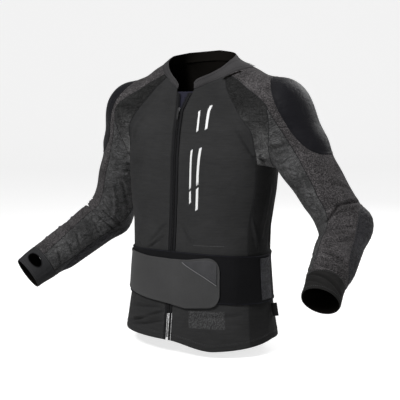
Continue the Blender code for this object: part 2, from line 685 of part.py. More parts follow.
def build_belt():
    angles = np.linspace(0, 360, 40, endpoint=False)
    downs = np.linspace(BELT_TOP, BELT_BOTTOM, 4)
    outer = LIFT + BAND_THICKNESS
    add_sheet("belt_band", "belt_band", around_body(angles, downs, outer), BAND_THICKNESS, closed=True)
    outer += LIFT + FLAP_THICKNESS
    straight, rounded = np.linspace(FLAP_START, FLAP_ROUND, 12), np.linspace(FLAP_ROUND, FLAP_END, 6)
    angles = np.concatenate([straight, rounded[1:]])
    flap = flap_grid(angles, -flap_half(angles), flap_half(angles), 5, outer)
    add_sheet("belt_flap", "belt_flap", flap, FLAP_THICKNESS)
    angles = np.linspace(GRIP_START, FLAP_END - 2.5, 8)
    diagonal = np.interp(angles, [GRIP_START, FLAP_END], [-0.080, 0.022])
    upper = 0.007 - flap_half(angles)
    lower = np.maximum(diagonal, upper + 0.004)
    grip = outer + 0.7 * LIFT + 0.0009
    add_sheet("belt_grip", "belt_grip", flap_grid(angles, upper, lower, 4, grip), 0.0009)

    anchor = LIFT * 1.8 + BAND_THICKNESS + 0.0012
    downs = np.linspace(BELT_TOP + 0.012, BELT_BOTTOM - 0.012, 4)
    add_sheet("belt_anchor_left", "belt_anchor", around_body(np.linspace(84, 97, 3), downs, anchor), 0.0012)


def build_pad(kind, side):
    centre, turn, half, width, power, lift = PADS[kind, side]
    lanes = np.linspace(-1, 1, 11)
    across, along = np.meshgrid(lanes, lanes)
    radius = (np.abs(across) ** power + np.abs(along) ** power) ** (1 / power)
    square = np.maximum(np.abs(across), np.abs(along))
    scale = np.where(radius > 0, square / np.maximum(radius, 1e-9), 1)
    across, along = across * scale, along * scale
    edge = np.clip(1 - square, 0, 1)
    bulge = PAD_THICKNESS * np.clip(edge * 4, 0, 1) ** 0.5
    share, angle = centre + half * along, turn + width * across
    inner = on_arm(side, share, angle, lift, folded=False)
    outer = on_arm(side, share, angle, lift + 0.0012 + bulge, folded=False)
    lanes = len(lanes)
    count = lanes * lanes
    faces = grid_faces(lanes, lanes)
    under = [tuple(i + count for i in face[::-1]) for face in faces]
    ring = [*range(lanes), *range(2 * lanes - 1, count, lanes), *range(count - 2, count - lanes - 1, -1)]
    ring += [*range(count - 2 * lanes, 0, -lanes)]
    walls = [(a, b, b + count, a + count) for a, b in zip(ring, ring[1:] + ring[:1])]
    points = np.concatenate([outer.reshape(-1, 3), inner.reshape(-1, 3)])
    made = add_object(f"{kind}_pad_{side}", f"{kind}_pad", points, faces + under + walls)
    shell = bmesh.new()
    shell.from_mesh(made.data)
    bmesh.ops.recalc_face_normals(shell, faces=shell.faces)
    shell.to_mesh(made.data)
    shell.free()


def build_tab():
    start = around_body([101.0], [0.875, 0.925], 0.0006)[:, 0]
    middle, along = start.mean(axis=0), start[0] - start[1]
    way = np.cross(np.cross(along, outward(middle)), along)
    way /= np.linalg.norm(way)
    centre = middle + way * 0.0056
    across = np.array([-way[1], way[0], 0.0])
    bpy.ops.mesh.primitive_cube_add(size=1)
    tab = bpy.context.object
    tab.name = "side_tab"
    place = np.eye(4)
    place[:3, 0], place[:3, 1], place[:3, 2] = 0.0122 * way, 0.0016 * across, along
    place[:3, 3] = centre
    shape_block(tab, place)
    move_to(jersey, tab)
    tab.data.materials.append(material("side_tab_material", "side_tab"))


for old in list(bpy.data.objects):
    bpy.data.objects.remove(old)
jersey = bpy.data.collections.new("armoured_jersey")
cutters = bpy.data.collections.new("cutters")
bpy.context.scene.collection.children.link(jersey)
bpy.context.scene.collection.children.link(cutters)

seams = {side: torso_seams(side) for side in ARMS}
for side in ARMS:
    build_torso(side, seams[side])
    build_sleeve(side, seams[side])
    build_cuff(side)
    build_piping(side)
    build_pad("shoulder", side)
    build_pad("elbow", side)
build_back(seams)
build_collar()
build_zip()
build_belt()
build_tab()
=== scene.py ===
import bmesh
import bpy
import mathutils
import numpy as np
from bpy.props import FloatProperty, FloatVectorProperty, PointerProperty
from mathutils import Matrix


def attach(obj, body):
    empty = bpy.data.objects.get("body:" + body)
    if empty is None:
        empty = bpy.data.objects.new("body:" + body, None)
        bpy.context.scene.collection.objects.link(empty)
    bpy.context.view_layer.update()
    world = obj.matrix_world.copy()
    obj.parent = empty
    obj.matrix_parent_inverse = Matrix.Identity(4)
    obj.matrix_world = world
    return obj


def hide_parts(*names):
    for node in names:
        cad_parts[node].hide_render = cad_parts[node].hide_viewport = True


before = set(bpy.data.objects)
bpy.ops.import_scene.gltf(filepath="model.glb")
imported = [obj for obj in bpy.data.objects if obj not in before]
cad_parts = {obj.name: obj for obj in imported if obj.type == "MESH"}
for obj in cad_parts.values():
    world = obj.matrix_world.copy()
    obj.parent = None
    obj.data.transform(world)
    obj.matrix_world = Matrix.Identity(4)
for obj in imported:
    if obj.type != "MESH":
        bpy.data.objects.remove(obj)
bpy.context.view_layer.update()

bl_info = {
    "name": "Armoured Jersey",
    "version": (1, 0, 0),
    "blender": (4, 5, 0),
    "location": "View3D > Sidebar > Jersey",
    "description": "Dresses the armoured motorcycle jersey in its cloth, pads, zip and belt",
    "category": "Object",
}

# The garment's form: the sizes that its solids have, in metres
BODY_LENGTH, HALF_CHEST, CHEST_DEPTH, HEM_DROP = 0.612, 0.194, 0.128, 0.022
ARM_BLEND, ELBOW_BLEND, ELBOW_ROUND = 0.035, 0.020, 0.080
TORSO = np.array([
    # down, half width, front depth, back depth, squareness
    (1.144, 1.060, 1.172, 1.031, 2.2), (1.005, 1.012, 1.148, 1.016, 2.2), (0.850, 0.928, 1.062, 0.938, 2.2),
    (0.703, 0.897, 1.000, 0.875, 2.2), (0.572, 0.918, 0.938, 0.875, 2.2), (0.441, 0.969, 0.906, 0.938, 2.3),
    (0.310, 1.000, 0.875, 1.000, 2.3), (0.212, 0.928, 0.812, 0.938, 2.2), (0.131, 0.696, 0.719, 0.742, 2.0),
    (0.065, 0.495, 0.641, 0.594, 2.0), (0.000, 0.412, 0.594, 0.516, 2.0), (-0.100, 0.392, 0.578, 0.484, 2.0),
])
ARMS = {
    "left": dict(
        sign=1, neck=(0.062, 0.012, -0.006), neck_r=0.050,
        shoulder=(0.202, 0.000, -0.092), shoulder_r=0.070,
        elbow=(0.376, 0.000, -0.334), elbow_r=0.050,
        wrist=(0.405, -0.172, -0.468), wrist_r=0.041),
    "right": dict(
        sign=-1, neck=(-0.064, 0.012, -0.006), neck_r=0.050,
        shoulder=(-0.187, 0.000, -0.094), shoulder_r=0.068,
        elbow=(-0.344, 0.081, -0.356), elbow_r=0.055,
        wrist=(-0.456, -0.128, -0.507), wrist_r=0.044),
}
ARM_SEAMS = np.array([
    # share of the way to the wrist, angles of the yoke's front and back edge and of the underarm seam
    (0.00, 73, -73, 176), (0.26, 74, -66, 180), (0.40, 80, -62, 182), (0.55, 97, -62, 188),
    (0.70, 113, -66, 192), (0.90, 126, -78, 194), (1.00, 130, -84, 194),
])
RING_START, CUFF_START = 0.26, 0.905

# Torso seams as shares: across of half the chest, deep of the chest depth, down of the body length
CHEST_EDGE = {
    "left": np.array([
        (0.48, -0.35, 0.021), (0.53, -0.385, 0.065), (0.63, -0.42, 0.116), (0.78, -0.49, 0.173),
        (0.885, -0.51, 0.211), (0.91, -0.45, 0.255), (0.925, -0.40, 0.300), (0.935, -0.38, 0.337),
    ]),
    "right": np.array([
        (0.36, -0.42, 0.025), (0.51, -0.38, 0.044), (0.60, -0.40, 0.072), (0.76, -0.51, 0.135),
        (0.875, -0.55, 0.194), (0.92, -0.50, 0.240), (0.93, -0.42, 0.290), (0.935, -0.38, 0.337),
    ]),
}
CHEST_EDGE_LOW = np.array([
    (0.935, -0.38, 0.337), (0.917, -0.37, 0.430), (0.871, -0.41, 0.523), (0.840, -0.42, 0.616),
    (0.856, -0.43, 0.804), (0.902, -0.51, 1.000),
])
RAGLAN_FRONT = np.array([
    (0.54, -0.31, 0.005), (0.665, -0.35, 0.029), (0.81, -0.41, 0.058), (0.965, -0.505, 0.083),
    (1.135, -0.58, 0.122),
])
RAGLAN_BACK = np.array([(0.40, 0.34, -0.030), (0.68, 0.44, 0.030), (0.93, 0.56, 0.085)])
ARMHOLE = np.array([(1.16, 0.59, 0.185), (1.13, 0.52, 0.250), (1.08, 0.30, 0.317)])
ARMPIT = {"left": (1.055, 0.08, 0.364), "right": (1.05, 0.10, 0.370)}
SIDE_SEAM = np.array([(1.00, 0.28, 0.450), (0.93, 0.32, 0.640), (0.955, 0.33, 1.000)])
NECK = np.array([
    # degrees from the front, collar seam and rim over the neck base as shares of the body length
    (-180, .058, .092), (-124, .052, .084), (-90, .040, .070), (-68, .013, .052), (-34, -.023, .002),
    (-9, -.057, -.038), (5, -.065, -.040), (23, -.056, -.025), (46, -.033, -.004), (65, -.016, .018),
    (78, -.013, .036), (88, -.004, .049), (95, .018, .055), (103, .036, .062), (124, .051, .076),
    (180, .058, .092),
])
NECK_FRONT = -0.065 * BODY_LENGTH
RIM_HALF = (0.081, 0.078)
# Where the seams meet the collar, in degrees from the front
CHEST_NECK, YOKE_NECK = {"left": 80, "right": 46}, {"left": 88, "right": 57}
BACK_NECK = 124
PIPING_START = {"left": 98, "right": 102}
# Where the hem is lowest, as a share of the half chest, and how much of the drop it takes there
HEM_LOWEST, HEM_SHARE = 0.6, 0.8
# Half the gap between the tapes, a tape's width, the height where the open zip closes, and how far each
# tape stands off at the neck
ZIP_HALF, TAPE_WIDTH, V_BOTTOM = 0.0026, 0.0062, -0.086
V_OPEN = {"left": 0.0180, "right": 0.0050}
# The belt's edges and its sag at the sides as shares of the body length, then the flap's and the grip's
# ends and the anchor strip's in degrees from the front
BELT_TOP, BELT_BOTTOM, BELT_SAG = 0.664, 0.845, 0.016
FLAP_ROUND, FLAP_END, GRIP_START = 27, 37, 10
FLAP = np.array([
    # degrees from the front, middle below the belt's as a share of its height, height over the belt's
    (-74, -0.055, 0.78), (-41, 0.018, 0.85), (-18, 0.092, 0.89), (1, 0.123, 0.93), (13, 0.146, 1.00),
    (27, 0.089, 1.02), (37, 0.074, 1.02),
])
ANCHOR = (79, 99)
PADS = {
    # centre share, centre angle, half share, half angle, squareness
    ("shoulder", "left"): (0.080, 0, 0.215, 60, 2.6),
    ("shoulder", "right"): (0.065, 0, 0.185, 60, 2.6),
    ("elbow", "left"): (0.700, -46, 0.185, 72, 2.6),
    ("elbow", "right"): (0.700, -98, 0.185, 68, 2.6),
}

# Fineness: steps along each section of a cloth piece
RAGLAN_STEPS, HOLE_STEPS, SIDE_STEPS, CAP_STEPS, UPPER_STEPS, FOREARM_STEPS = 26, 34, 118, 26, 30, 90
FRONT_COLS, INSERT_COLS, SIDE_COLS, BACK_COLS, YOKE_COLS = 50, 26, 34, 110, 46

BODY_CHART = 0.170  # radius that turns a torso angle into a length
TORSO_FOLDS = (
    # from angle and height, to angle and height, half width, rise (below zero a crease), all in mm but angles
    (-7, -340, -33, -397, 3.4, -2.2), (-9, -372, -37, -414, 3.4, -2.6), (9, -338, 25, -394, 3.4, -1.9),
    (-49, -396, -39, -416, 3.0, -2.6), (-61, -394, -54, -416, 3.0, -2.2), (-29, -398, -24, -416, 3.0, -2.0),
    (-54, -594, -3, -546, 4.2, -3.0), (-50, -599, -3, -570, 4.2, -2.8), (-54, -553, -8, -540, 4.0, -2.2),
    (-50, -580, -6, -558, 5.0, 2.0),
    (68, -112, 78, -206, 4.8, 3.0), (73, -100, 82, -200, 4.2, -2.8), (63, -120, 74, -196, 4.0, -1.8),
    (72, -186, 86, -208, 4.0, -3.2), (-70, -64, -69, -134, 5.0, -2.0), (-63, -90, -66, -156, 5.0, 2.0),
    (-75, -110, -78, -190, 4.5, 2.0), (-70, -184, -86, -206, 4.0, -2.6),
    (74, -326, 81, -408, 4.0, 2.2), (90, -250, 84, -380, 7.0, 1.8), (101, -300, 96, -405, 7.0, -1.8),
    (-90, -250, -84, -380, 7.0, 1.8), (-101, -300, -96, -405, 7.0, -1.8),
    (150, -140, 166, -385, 9.0, 2.0), (-150, -140, -166, -385, 9.0, 2.0), (128, -210, 141, -400, 7.0, -2.0),
    (-128, -210, -141, -400, 7.0, -2.0), (166, -392, 192, -400, 4.0, -2.4), (150, -548, 205, -560, 6.0, -1.8),
    (92, -560, 130, -548, 5.0, -1.8), (-92, -560, -130, -548, 5.0, -1.8), (30, -556, 66, -548, 6.0, -1.4),
)
ARM_FOLDS = {
    # from share and angle, to share and angle, half width, rise, both in mm
    "left": (
        (.392, 64, .474, -12, 4.6, -3.0), (.612, 114, .522, 50, 4.2, -4.6), (.532, 66, .513, -24, 4.2, -4.4),
        (.590, 100, .545, 0, 4.2, -2.6), (.692, 106, .638, 16, 5.6, -2.6), (.722, 112, .668, 26, 5.0, 2.0),
        (.778, 104, .700, 18, 5.2, -3.0), (.750, 106, .684, 26, 4.6, 1.6), (.808, 108, .846, 4, 4.6, -4.4),
        (.832, 118, .882, 46, 4.2, -3.8), (.876, 130, .905, -4, 4.6, -4.6), (.915, 134, .975, 0, 4.4, -3.6),
        (.858, 124, .872, 6, 4.6, 2.4), (.945, 140, .990, 40, 4.0, -2.0),
        (.118, 112, .172, 74, 5.5, 2.6), (.185, 122, .204, 80, 5.5, -2.4), (.150, 116, .178, 80, 4.6, -2.0),
        (.230, 128, .260, 88, 6.0, 2.0), (.300, 106, .375, 124, 5.0, 2.4), (.326, 98, .402, 114, 4.6, -2.0),
        (.372, 98, .482, 126, 4.6, 2.4), (.405, 92, .505, 116, 4.6, -2.0), (.340, 124, .470, 146, 5.0, -2.2),
        (.66, 204, .70, 120, 5.5, -2.2), (.78, 206, .80, 120, 5.5, -2.6), (.86, 210, .88, 130, 5.5, -2.6),
        (.10, -152, .20, -104, 7.0, 2.2), (.25, -176, .33, -96, 6.5, -2.2), (.42, -176, .46, -92, 5.5, -2.8),
        (.50, 176, .52, 254, 5.0, -3.0), (.36, -168, .40, -90, 6.0, 2.0),
    ),
    "right": (
        (.578, -48, .592, 112, 3.2, -4.8), (.592, 98, .582, 222, 3.2, -4.8),
        (.542, -48, .530, 112, 3.2, -4.2),
        (.528, 98, .552, 196, 3.2, -4.4), (.560, -40, .560, 190, 3.6, 1.6),
        (.604, 50, .676, 120, 4.0, -2.8), (.722, 50, .738, 134, 4.0, -3.0), (.792, 50, .808, 124, 4.0, -2.8),
        (.864, 50, .897, 142, 4.0, -3.2), (.692, 50, .706, 118, 4.6, 2.0), (.762, 50, .774, 120, 4.6, 2.2),
        (.836, 50, .852, 124, 4.6, 2.2), (.726, 124, .760, 178, 4.4, -3.0), (.628, 118, .656, 186, 4.6, -2.6),
        (.840, 130, .870, 194, 4.6, -2.8), (.690, 124, .700, 180, 5.5, 2.0), (.800, 126, .812, 186, 5.5, 2.0),
        (.300, 98, .413, 124, 5.0, 2.4), (.405, 118, .530, 156, 4.6, 2.4), (.270, 116, .356, 140, 5.0, -2.4),
        (.346, 134, .455, 168, 4.6, -2.4), (.470, 90, .528, 156, 4.6, -3.0),
        (.520, 148, .548, 206, 4.6, -3.0),
        (.360, 96, .470, 128, 4.6, -2.0), (.430, 150, .520, 184, 4.0, 2.0), (-.064, 60, .004, 98, 5.0, -1.8),
        (.10, -152, .20, -104, 7.0, 2.2), (.25, -176, .33, -96, 6.5, -2.2), (.42, -176, .46, -92, 5.5, -2.8),
        (.36, -168, .40, -90, 6.0, 2.0), (.120, 150, .200, 110, 6.0, 2.0), (.190, 160, .250, 112, 6.0, -2.0),
    ),
}
TORSO_FOLD_SCALE, ARM_FOLD_SCALE = 2.4, 1.8
SEAM_DIP, SEAM_DIP_WIDTH = 0.0009, 0.0017
STRIPES = (
    # degrees of the chest's ellipse and height in mm along each stroke, and its half width in mm
    (((18.4, -86), (18.1, -98), (17.8, -113), (17.6, -132)), 2.3),
    (((14.0, -174), (13.6, -200), (13.4, -232), (13.3, -262)), 2.3),
    (((13.3, -268), (13.5, -295)), 2.3),
    (((28.2, -73), (26.5, -88), (25.3, -106), (24.6, -127)), 3.0),
    (((20.9, -169), (19.9, -196), (19.2, -226), (19.0, -253)), 3.0),
    (((19.0, -260), (18.8, -310)), 3.0),
)


def smooth_min(a, b, width):
    """The lesser of two heights, rounded where they come within a width of each other."""
    near = np.clip(width - np.abs(a - b), 0, None) / width
    return np.minimum(a, b) - near * near * width / 4


def cone(p, start, end, start_r, end_r):
    """Distance outside a round cone: distance to its middle line less the radius there."""
    start, along = np.array(start), np.array(end) - np.array(start)
    share = np.clip((p - start) @ along / (along @ along), 0, 1)
    out = np.linalg.norm(p - start - share[..., None] * along, axis=-1)
    return out - start_r - (end_r - start_r) * share


def column(p):
    """Distance outside the torso: how far past its superellipse at that height each point lies."""
    down = -p[..., 2] / BODY_LENGTH
    table = TORSO[::-1]
    half, front, back, power = (np.interp(down, table[:, 0], table[:, k]) for k in (1, 2, 3, 4))
    depth = np.where(p[..., 1] < 0, front, back) * CHEST_DEPTH
    across = np.abs(p[..., 0]) / (half * HALF_CHEST)
    share = (across**power + (np.abs(p[..., 1]) / depth) ** power) ** (1 / power)
    out = np.hypot(p[..., 0], p[..., 1])
    return out - out / np.maximum(share, 1e-6)


def form(p):
    """Below zero inside the garment: the torso column joined to two cones an arm and one a shoulder."""
    value = column(p)
    for arm in ARMS.values():
        top = cone(p, arm["neck"], arm["shoulder"], arm["neck_r"], arm["shoulder_r"])
        value = smooth_min(value, top, ARM_BLEND)
        upper = cone(p, arm["shoulder"], arm["elbow"], arm["shoulder_r"], arm["elbow_r"])
        lower = cone(p, arm["elbow"], arm["wrist"], arm["elbow_r"], arm["wrist_r"])
        value = smooth_min(value, smooth_min(upper, lower, ELBOW_BLEND), ARM_BLEND)
    return value


def slope(p):
    """The form's slope by central differences half a millimetre each way."""
    step = 0.0005 * np.eye(3)
    return np.stack([form(p + s) - form(p - s) for s in step], axis=-1) / 0.001


def unit(v):
    """Vectors of length one."""
    return v / np.maximum(np.linalg.norm(v, axis=-1, keepdims=True), 1e-12)


def outward(p):
    """Directions straight off the form."""
    return unit(slope(p))


def settle(p, height=0.0, free=(1, 1, 1), rounds=7):
    """Newton steps along the form's slope, in the free axes only, until points lie at a height over it."""
    p = np.array(p, float)
    for _ in range(rounds):
        way = slope(p) * free
        step = (form(p) - height) / np.maximum((way * way).sum(-1), 0.2)
        p -= np.clip(step, -0.03, 0.03)[..., None] * way
    return p


def arm_spans(arm):
    """Directions and lengths of the arm's middle line: upper part, rounded elbow and lower part."""
    shoulder, elbow, wrist = (np.array(arm[k]) for k in ("shoulder", "elbow", "wrist"))
    upper, lower = elbow - shoulder, wrist - elbow
    lengths = np.linalg.norm(upper) - ELBOW_ROUND, 1.9 * ELBOW_ROUND, np.linalg.norm(lower) - ELBOW_ROUND
    return shoulder, unit(upper), unit(lower), np.array(lengths)


def arm_path(arm, share):
    """Centres and tangents of the arm's middle line: two straight lines joined by a parabola."""
    shoulder, upper, lower, spans = arm_spans(arm)
    way = (np.asarray(share, float) * spans.sum())[..., None]
    turn = np.clip((way - spans[0]) / spans[1], 0, 1)
    straight = np.minimum(way, spans[0]) * upper
    bend = ELBOW_ROUND * ((2 * turn - turn**2) * upper + turn**2 * lower)
    last = np.maximum(way - spans[0] - spans[1], 0) * lower
    return shoulder + straight + bend + last, unit((1 - turn) * upper + turn * lower)


def arm_frame(side, share):
    """Centre, tangent, outside and front direction of the arm at each share."""
    arm = ARMS[side]
    centre, tangent = arm_path(arm, share)
    outside = np.array([arm["sign"], 0.0, 0.0])
    across = unit(outside - (tangent @ outside)[..., None] * tangent)
    return centre, tangent, across, arm["sign"] * np.cross(tangent, across)


def on_arm(side, share, angle, height=0.0):
    """Where rays from the arm's middle line leave the form, by stepping out and halving, then raised."""
    share, angle = np.broadcast_arrays(np.asarray(share, float), np.asarray(angle, float))
    start, _, across, ahead = arm_frame(side, share)
    turn = np.radians(angle)[..., None]
    way = np.cos(turn) * across + np.sin(turn) * ahead
    high = np.full(share.shape, 0.020)
    for _ in range(40):
        high = np.where(form(start + high[..., None] * way) < 0, high + 0.004, high)
    low = high - 0.004
    for _ in range(14):
        middle = (low + high) / 2
        inside = form(start + middle[..., None] * way) < 0
        low, high = np.where(inside, middle, low), np.where(inside, high, middle)
    p = start + low[..., None] * way
    return p + np.asarray(height)[..., None] * outward(p) if np.any(height) else p


def arm_chart(side, p):
    """Share and angle on the arm of points near it, from the nearest of many places on its middle line."""
    at = np.linspace(-0.15, 1.06, 243)
    centre, tangent, across, ahead = arm_frame(side, at)
    flat = p.reshape(-1, 3)
    near = ((flat[:, None] - centre[None]) ** 2).sum(-1).argmin(axis=1)
    off = flat - centre[near]
    share = at[near] + (off * tangent[near]).sum(-1) / arm_spans(ARMS[side])[3].sum()
    angle = np.degrees(np.arctan2((off * ahead[near]).sum(-1), (off * across[near]).sum(-1)))
    return share.reshape(p.shape[:-1]), angle.reshape(p.shape[:-1])


def lane_steps(count, fine_start=False, fine_end=False):
    """Equal steps from 0 to 1, with two more lanes close to an end that is a seam."""
    close = np.array([0.2, 0.5]) / count
    parts = [np.arange(count + 1) / count, close if fine_start else [], 1 - close if fine_end else []]
    return np.sort(np.concatenate(parts))


def run_along(line):
    """Length along a line up to each of its points."""
    return np.concatenate([[0], np.cumsum(np.linalg.norm(np.diff(line, axis=0), axis=1))])


def read_at(at, way, rows):
    """Rows read at places along a way."""
    return np.stack([np.interp(at, way, rows[:, k]) for k in range(rows.shape[1])], axis=-1)


def smooth_line(guides, lanes):
    """Points at shares of the length of a Catmull-Rom line through the guide points."""
    guides = np.array(guides, float)
    ends = np.vstack([2 * guides[0] - guides[1], guides, 2 * guides[-1] - guides[-2]])
    t = np.linspace(0, 1, 24, endpoint=False)[:, None, None]
    a, b, c, d = ends[:-3], ends[1:-2], ends[2:-1], ends[3:]
    bow = (2 * a - 5 * b + 4 * c - d) * t**2 + (3 * b - a - 3 * c + d) * t**3
    line = (b + (c - a) * t / 2 + bow / 2).transpose(1, 0, 2).reshape(-1, guides.shape[1])
    line = np.vstack([line, guides[-1:]])
    way = run_along(line)
    return read_at(np.asarray(lanes) * way[-1], way, line)


def torso_points(table, sign):
    """Metres from a row of shares of half the chest, the chest depth and the body length."""
    return np.asarray(table, float) * (sign * HALF_CHEST, CHEST_DEPTH, -BODY_LENGTH)


def hem_height(p):
    """The hem's height, lower in front on the left."""
    front = np.clip(-p[..., 1] / CHEST_DEPTH, 0, 1)
    left = np.clip(p[..., 0] / (HEM_LOWEST * HALF_CHEST), 0, 1)
    return -BODY_LENGTH - HEM_SHARE * HEM_DROP * front * left * left * (3 - 2 * left)


def to_hem(line):
    """Stretches a line's heights so that its last point meets the hem."""
    line = settle(line)
    top, bottom = line[0, 2], line[-1, 2]
    line[:, 2] = top + (line[:, 2] - top) * (hem_height(line[-1]) - top) / (bottom - top)
    return settle(line, free=(1, 1, 0))


def neck_rise(angle, which):
    """The height of the collar's seam (1) or rim (2) over the neck base at an angle."""
    return np.interp((np.asarray(angle) + 180) % 360 - 180, NECK[:, 0], NECK[:, which]) * BODY_LENGTH


def neck_line(first, last, lanes, height=0.0):
    """The collar seam between two angles from the front: a level ring pushed onto the form."""
    angle = first + (last - first) * np.asarray(lanes)
    around = np.radians(angle)
    p = np.stack([0.088 * np.sin(around), -0.080 * np.cos(around), neck_rise(angle, 1)], axis=-1)
    return settle(p, height, free=(1, 1, 0), rounds=12)


def patch(top, bottom, start, end, u, v):
    """A Coons patch between four lines, with its inside settled on the form."""
    u, v = np.asarray(u)[None, :, None], np.asarray(v)[:, None, None]
    corners = (1 - v) * ((1 - u) * top[0] + u * top[-1]) + v * ((1 - u) * bottom[0] + u * bottom[-1])
    grid = (1 - v) * top + v * bottom + (1 - u) * start[:, None] + u * end[:, None] - corners
    grid[1:-1, 1:-1] = settle(grid[1:-1, 1:-1])
    return grid


def join_steps(first, second, share):
    """Two runs of steps as one from 0 to 1, the first ending at the share."""
    return np.concatenate([first * share, share + second[1:] * (1 - share)])


RAGLAN = lane_steps(RAGLAN_STEPS, True)
HOLE = lane_steps(HOLE_STEPS, True, True)
SIDE = lane_steps(SIDE_STEPS, False, True)
CAP = lane_steps(CAP_STEPS, True)
UPPER_ROWS = join_steps(RAGLAN, HOLE, 0.5)
BODY_ROWS = join_steps(UPPER_ROWS, SIDE, 10 / 23)
YOKE_ROWS = join_steps(RAGLAN, CAP, 5 / 9)


def torso_seams(side):
    """All seam lines of one side of the body, each a settled line through its guide points."""
    sign = ARMS[side]["sign"]
    shoulder = abs(ARMS[side]["shoulder"][0]) / abs(ARMS["left"]["shoulder"][0])
    narrow = np.array([1 + 0.5 * (shoulder - 1), 1, 1])
    reach = np.array([shoulder, 1, 1])
    corners = on_arm(side, 0.0, ARM_SEAMS[0, 1:3])
    front_hole = np.vstack([corners[0], torso_points(ARMHOLE, sign) * reach * (1, -1, 1)])
    back_hole = np.vstack([corners[1], torso_points(ARMHOLE, sign) * reach])
    armpit = settle(torso_points(ARMPIT[side], sign))
    meet = YOKE_NECK[side], BACK_NECK, CHEST_NECK[side]
    necks = [neck_line(sign * angle, sign * angle, [0])[0] for angle in meet]
    raglan_front = np.vstack([necks[0], torso_points(RAGLAN_FRONT[1:], sign) * reach, front_hole[:1]])
    raglan_back = np.vstack([necks[1], torso_points(RAGLAN_BACK[1:], sign) * reach, back_hole[:1]])
    chest = np.vstack([necks[2], torso_points(CHEST_EDGE[side][1:], sign) * narrow])
    chest_low = torso_points(CHEST_EDGE_LOW, sign)
    chest_low[0] = chest[-1]
    side_seam = np.vstack([armpit, torso_points(SIDE_SEAM, sign)])
    lines = {
        "raglan_front": settle(smooth_line(raglan_front, RAGLAN)),
        "raglan_back": settle(smooth_line(raglan_back, RAGLAN)),
        "hole_front": settle(smooth_line(np.vstack([front_hole, armpit]), HOLE)),
        "hole_back": settle(smooth_line(np.vstack([back_hole, armpit]), HOLE)),
        "chest": settle(smooth_line(chest, UPPER_ROWS)),
        "chest_low": to_hem(smooth_line(chest_low, SIDE)),
        "side_seam": to_hem(smooth_line(side_seam, SIDE)),
    }
    lines["chest_low"][0] = lines["chest"][-1]
    cols = lane_steps(SIDE_COLS, True, True)[:, None]
    lines["under"] = settle(lines["chest"][-1] * (1 - cols) + armpit * cols)
    for upper, lower in (("raglan_front", "hole_front"), ("raglan_back", "hole_back")):
        lines[lower][0] = lines[upper][-1]
        lines[lower][-1] = armpit
    lines["side_seam"][0] = armpit
    lines["under"][0], lines["under"][-1] = lines["chest"][-1], armpit
    return lines


def hem_line(start, end, lanes):
    """The hem between two points: straight at first, then settled at the hem's height."""
    share = np.asarray(lanes)[:, None]
    line = start * (1 - share) + end * share
    for _ in range(3):
        line[..., 2] = hem_height(line)
        line = settle(line, free=(1, 1, 0))
    line[0], line[-1] = start, end
    return line


def centre_line(side, edge, top, rows, height=0.0, bottom=-BODY_LENGTH):
    """A line beside the zip: apart at the open neck, together below it."""
    level = top + (bottom - top) * np.asarray(rows)
    apart = V_OPEN[side] * np.clip((level - V_BOTTOM) / (NECK_FRONT - V_BOTTOM), 0, 1)
    x = ARMS[side]["sign"] * (edge + apart)
    p = np.stack([x, np.full(level.shape, -CHEST_DEPTH), level], axis=-1)
    return settle(p, height, free=(0, 1, 0), rounds=10)


def arm_rows():
    """Shares along the arm from the sleeve cap to the cuff."""
    upper = np.linspace(RING_START, 0.5, UPPER_STEPS + 1)
    return np.concatenate([upper, 0.5 + (CUFF_START - 0.5) * lane_steps(FOREARM_STEPS, False, True)[1:]])


def arm_angles(share, which):
    """The angle of one of the arm's three seams at each share."""
    return np.interp(share, ARM_SEAMS[:, 0], ARM_SEAMS[:, 1 + which])


def arm_grid(side, first, last, cols, turn=0):
    """Rows of points along the arm between two of its seams."""
    share = arm_rows()[:, None]
    blend = np.asarray(cols)[None]
    angle = arm_angles(share, first) * (1 - blend) + (arm_angles(share, last) + turn) * blend
    return on_arm(side, share, angle)


def around_body(angles, downs, height):
    """Points on the torso at angles from the front and shares of the body length."""
    angle, down = np.broadcast_arrays(np.radians(angles), np.asarray(downs, float))
    p = np.stack([HALF_CHEST * np.sin(angle), -CHEST_DEPTH * np.cos(angle), -down * BODY_LENGTH], axis=-1)
    return settle(p, height, free=(1, 1, 0), rounds=10)


def ridge(x, y, ends, half_width, rise):
    """A fold between two ends of a chart: a bell across it, shallow dips beside it, fading at its ends."""
    x0, y0, x1, y1 = ends
    dx, dy = x1 - x0, y1 - y0
    long = np.hypot(dx, dy)
    along = ((x - x0) * dx + (y - y0) * dy) / long**2
    off = (((x - x0) * dy - (y - y0) * dx) / long / half_width) ** 2
    fade = np.clip(1 - (2 * along - 1) ** 2, 0, None) ** 0.7
    return rise * (1 - 0.8 * off) * np.exp(-off) * fade


def ease(x):
    """Zero below 0, one above 1 and an even curve between."""
    x = np.clip(x, 0, 1)
    return x * x * (3 - 2 * x)


def pad_reach(kind, side, share, angle):
    """Below one inside a pad's outline: a superellipse in share and angle."""
    centre, turn, half, width, power = PADS[kind, side]
    bend = (angle - turn + 180) % 360 - 180
    return ((np.abs(share - centre) / half) ** power + (np.abs(bend) / width) ** power) ** (1 / power)


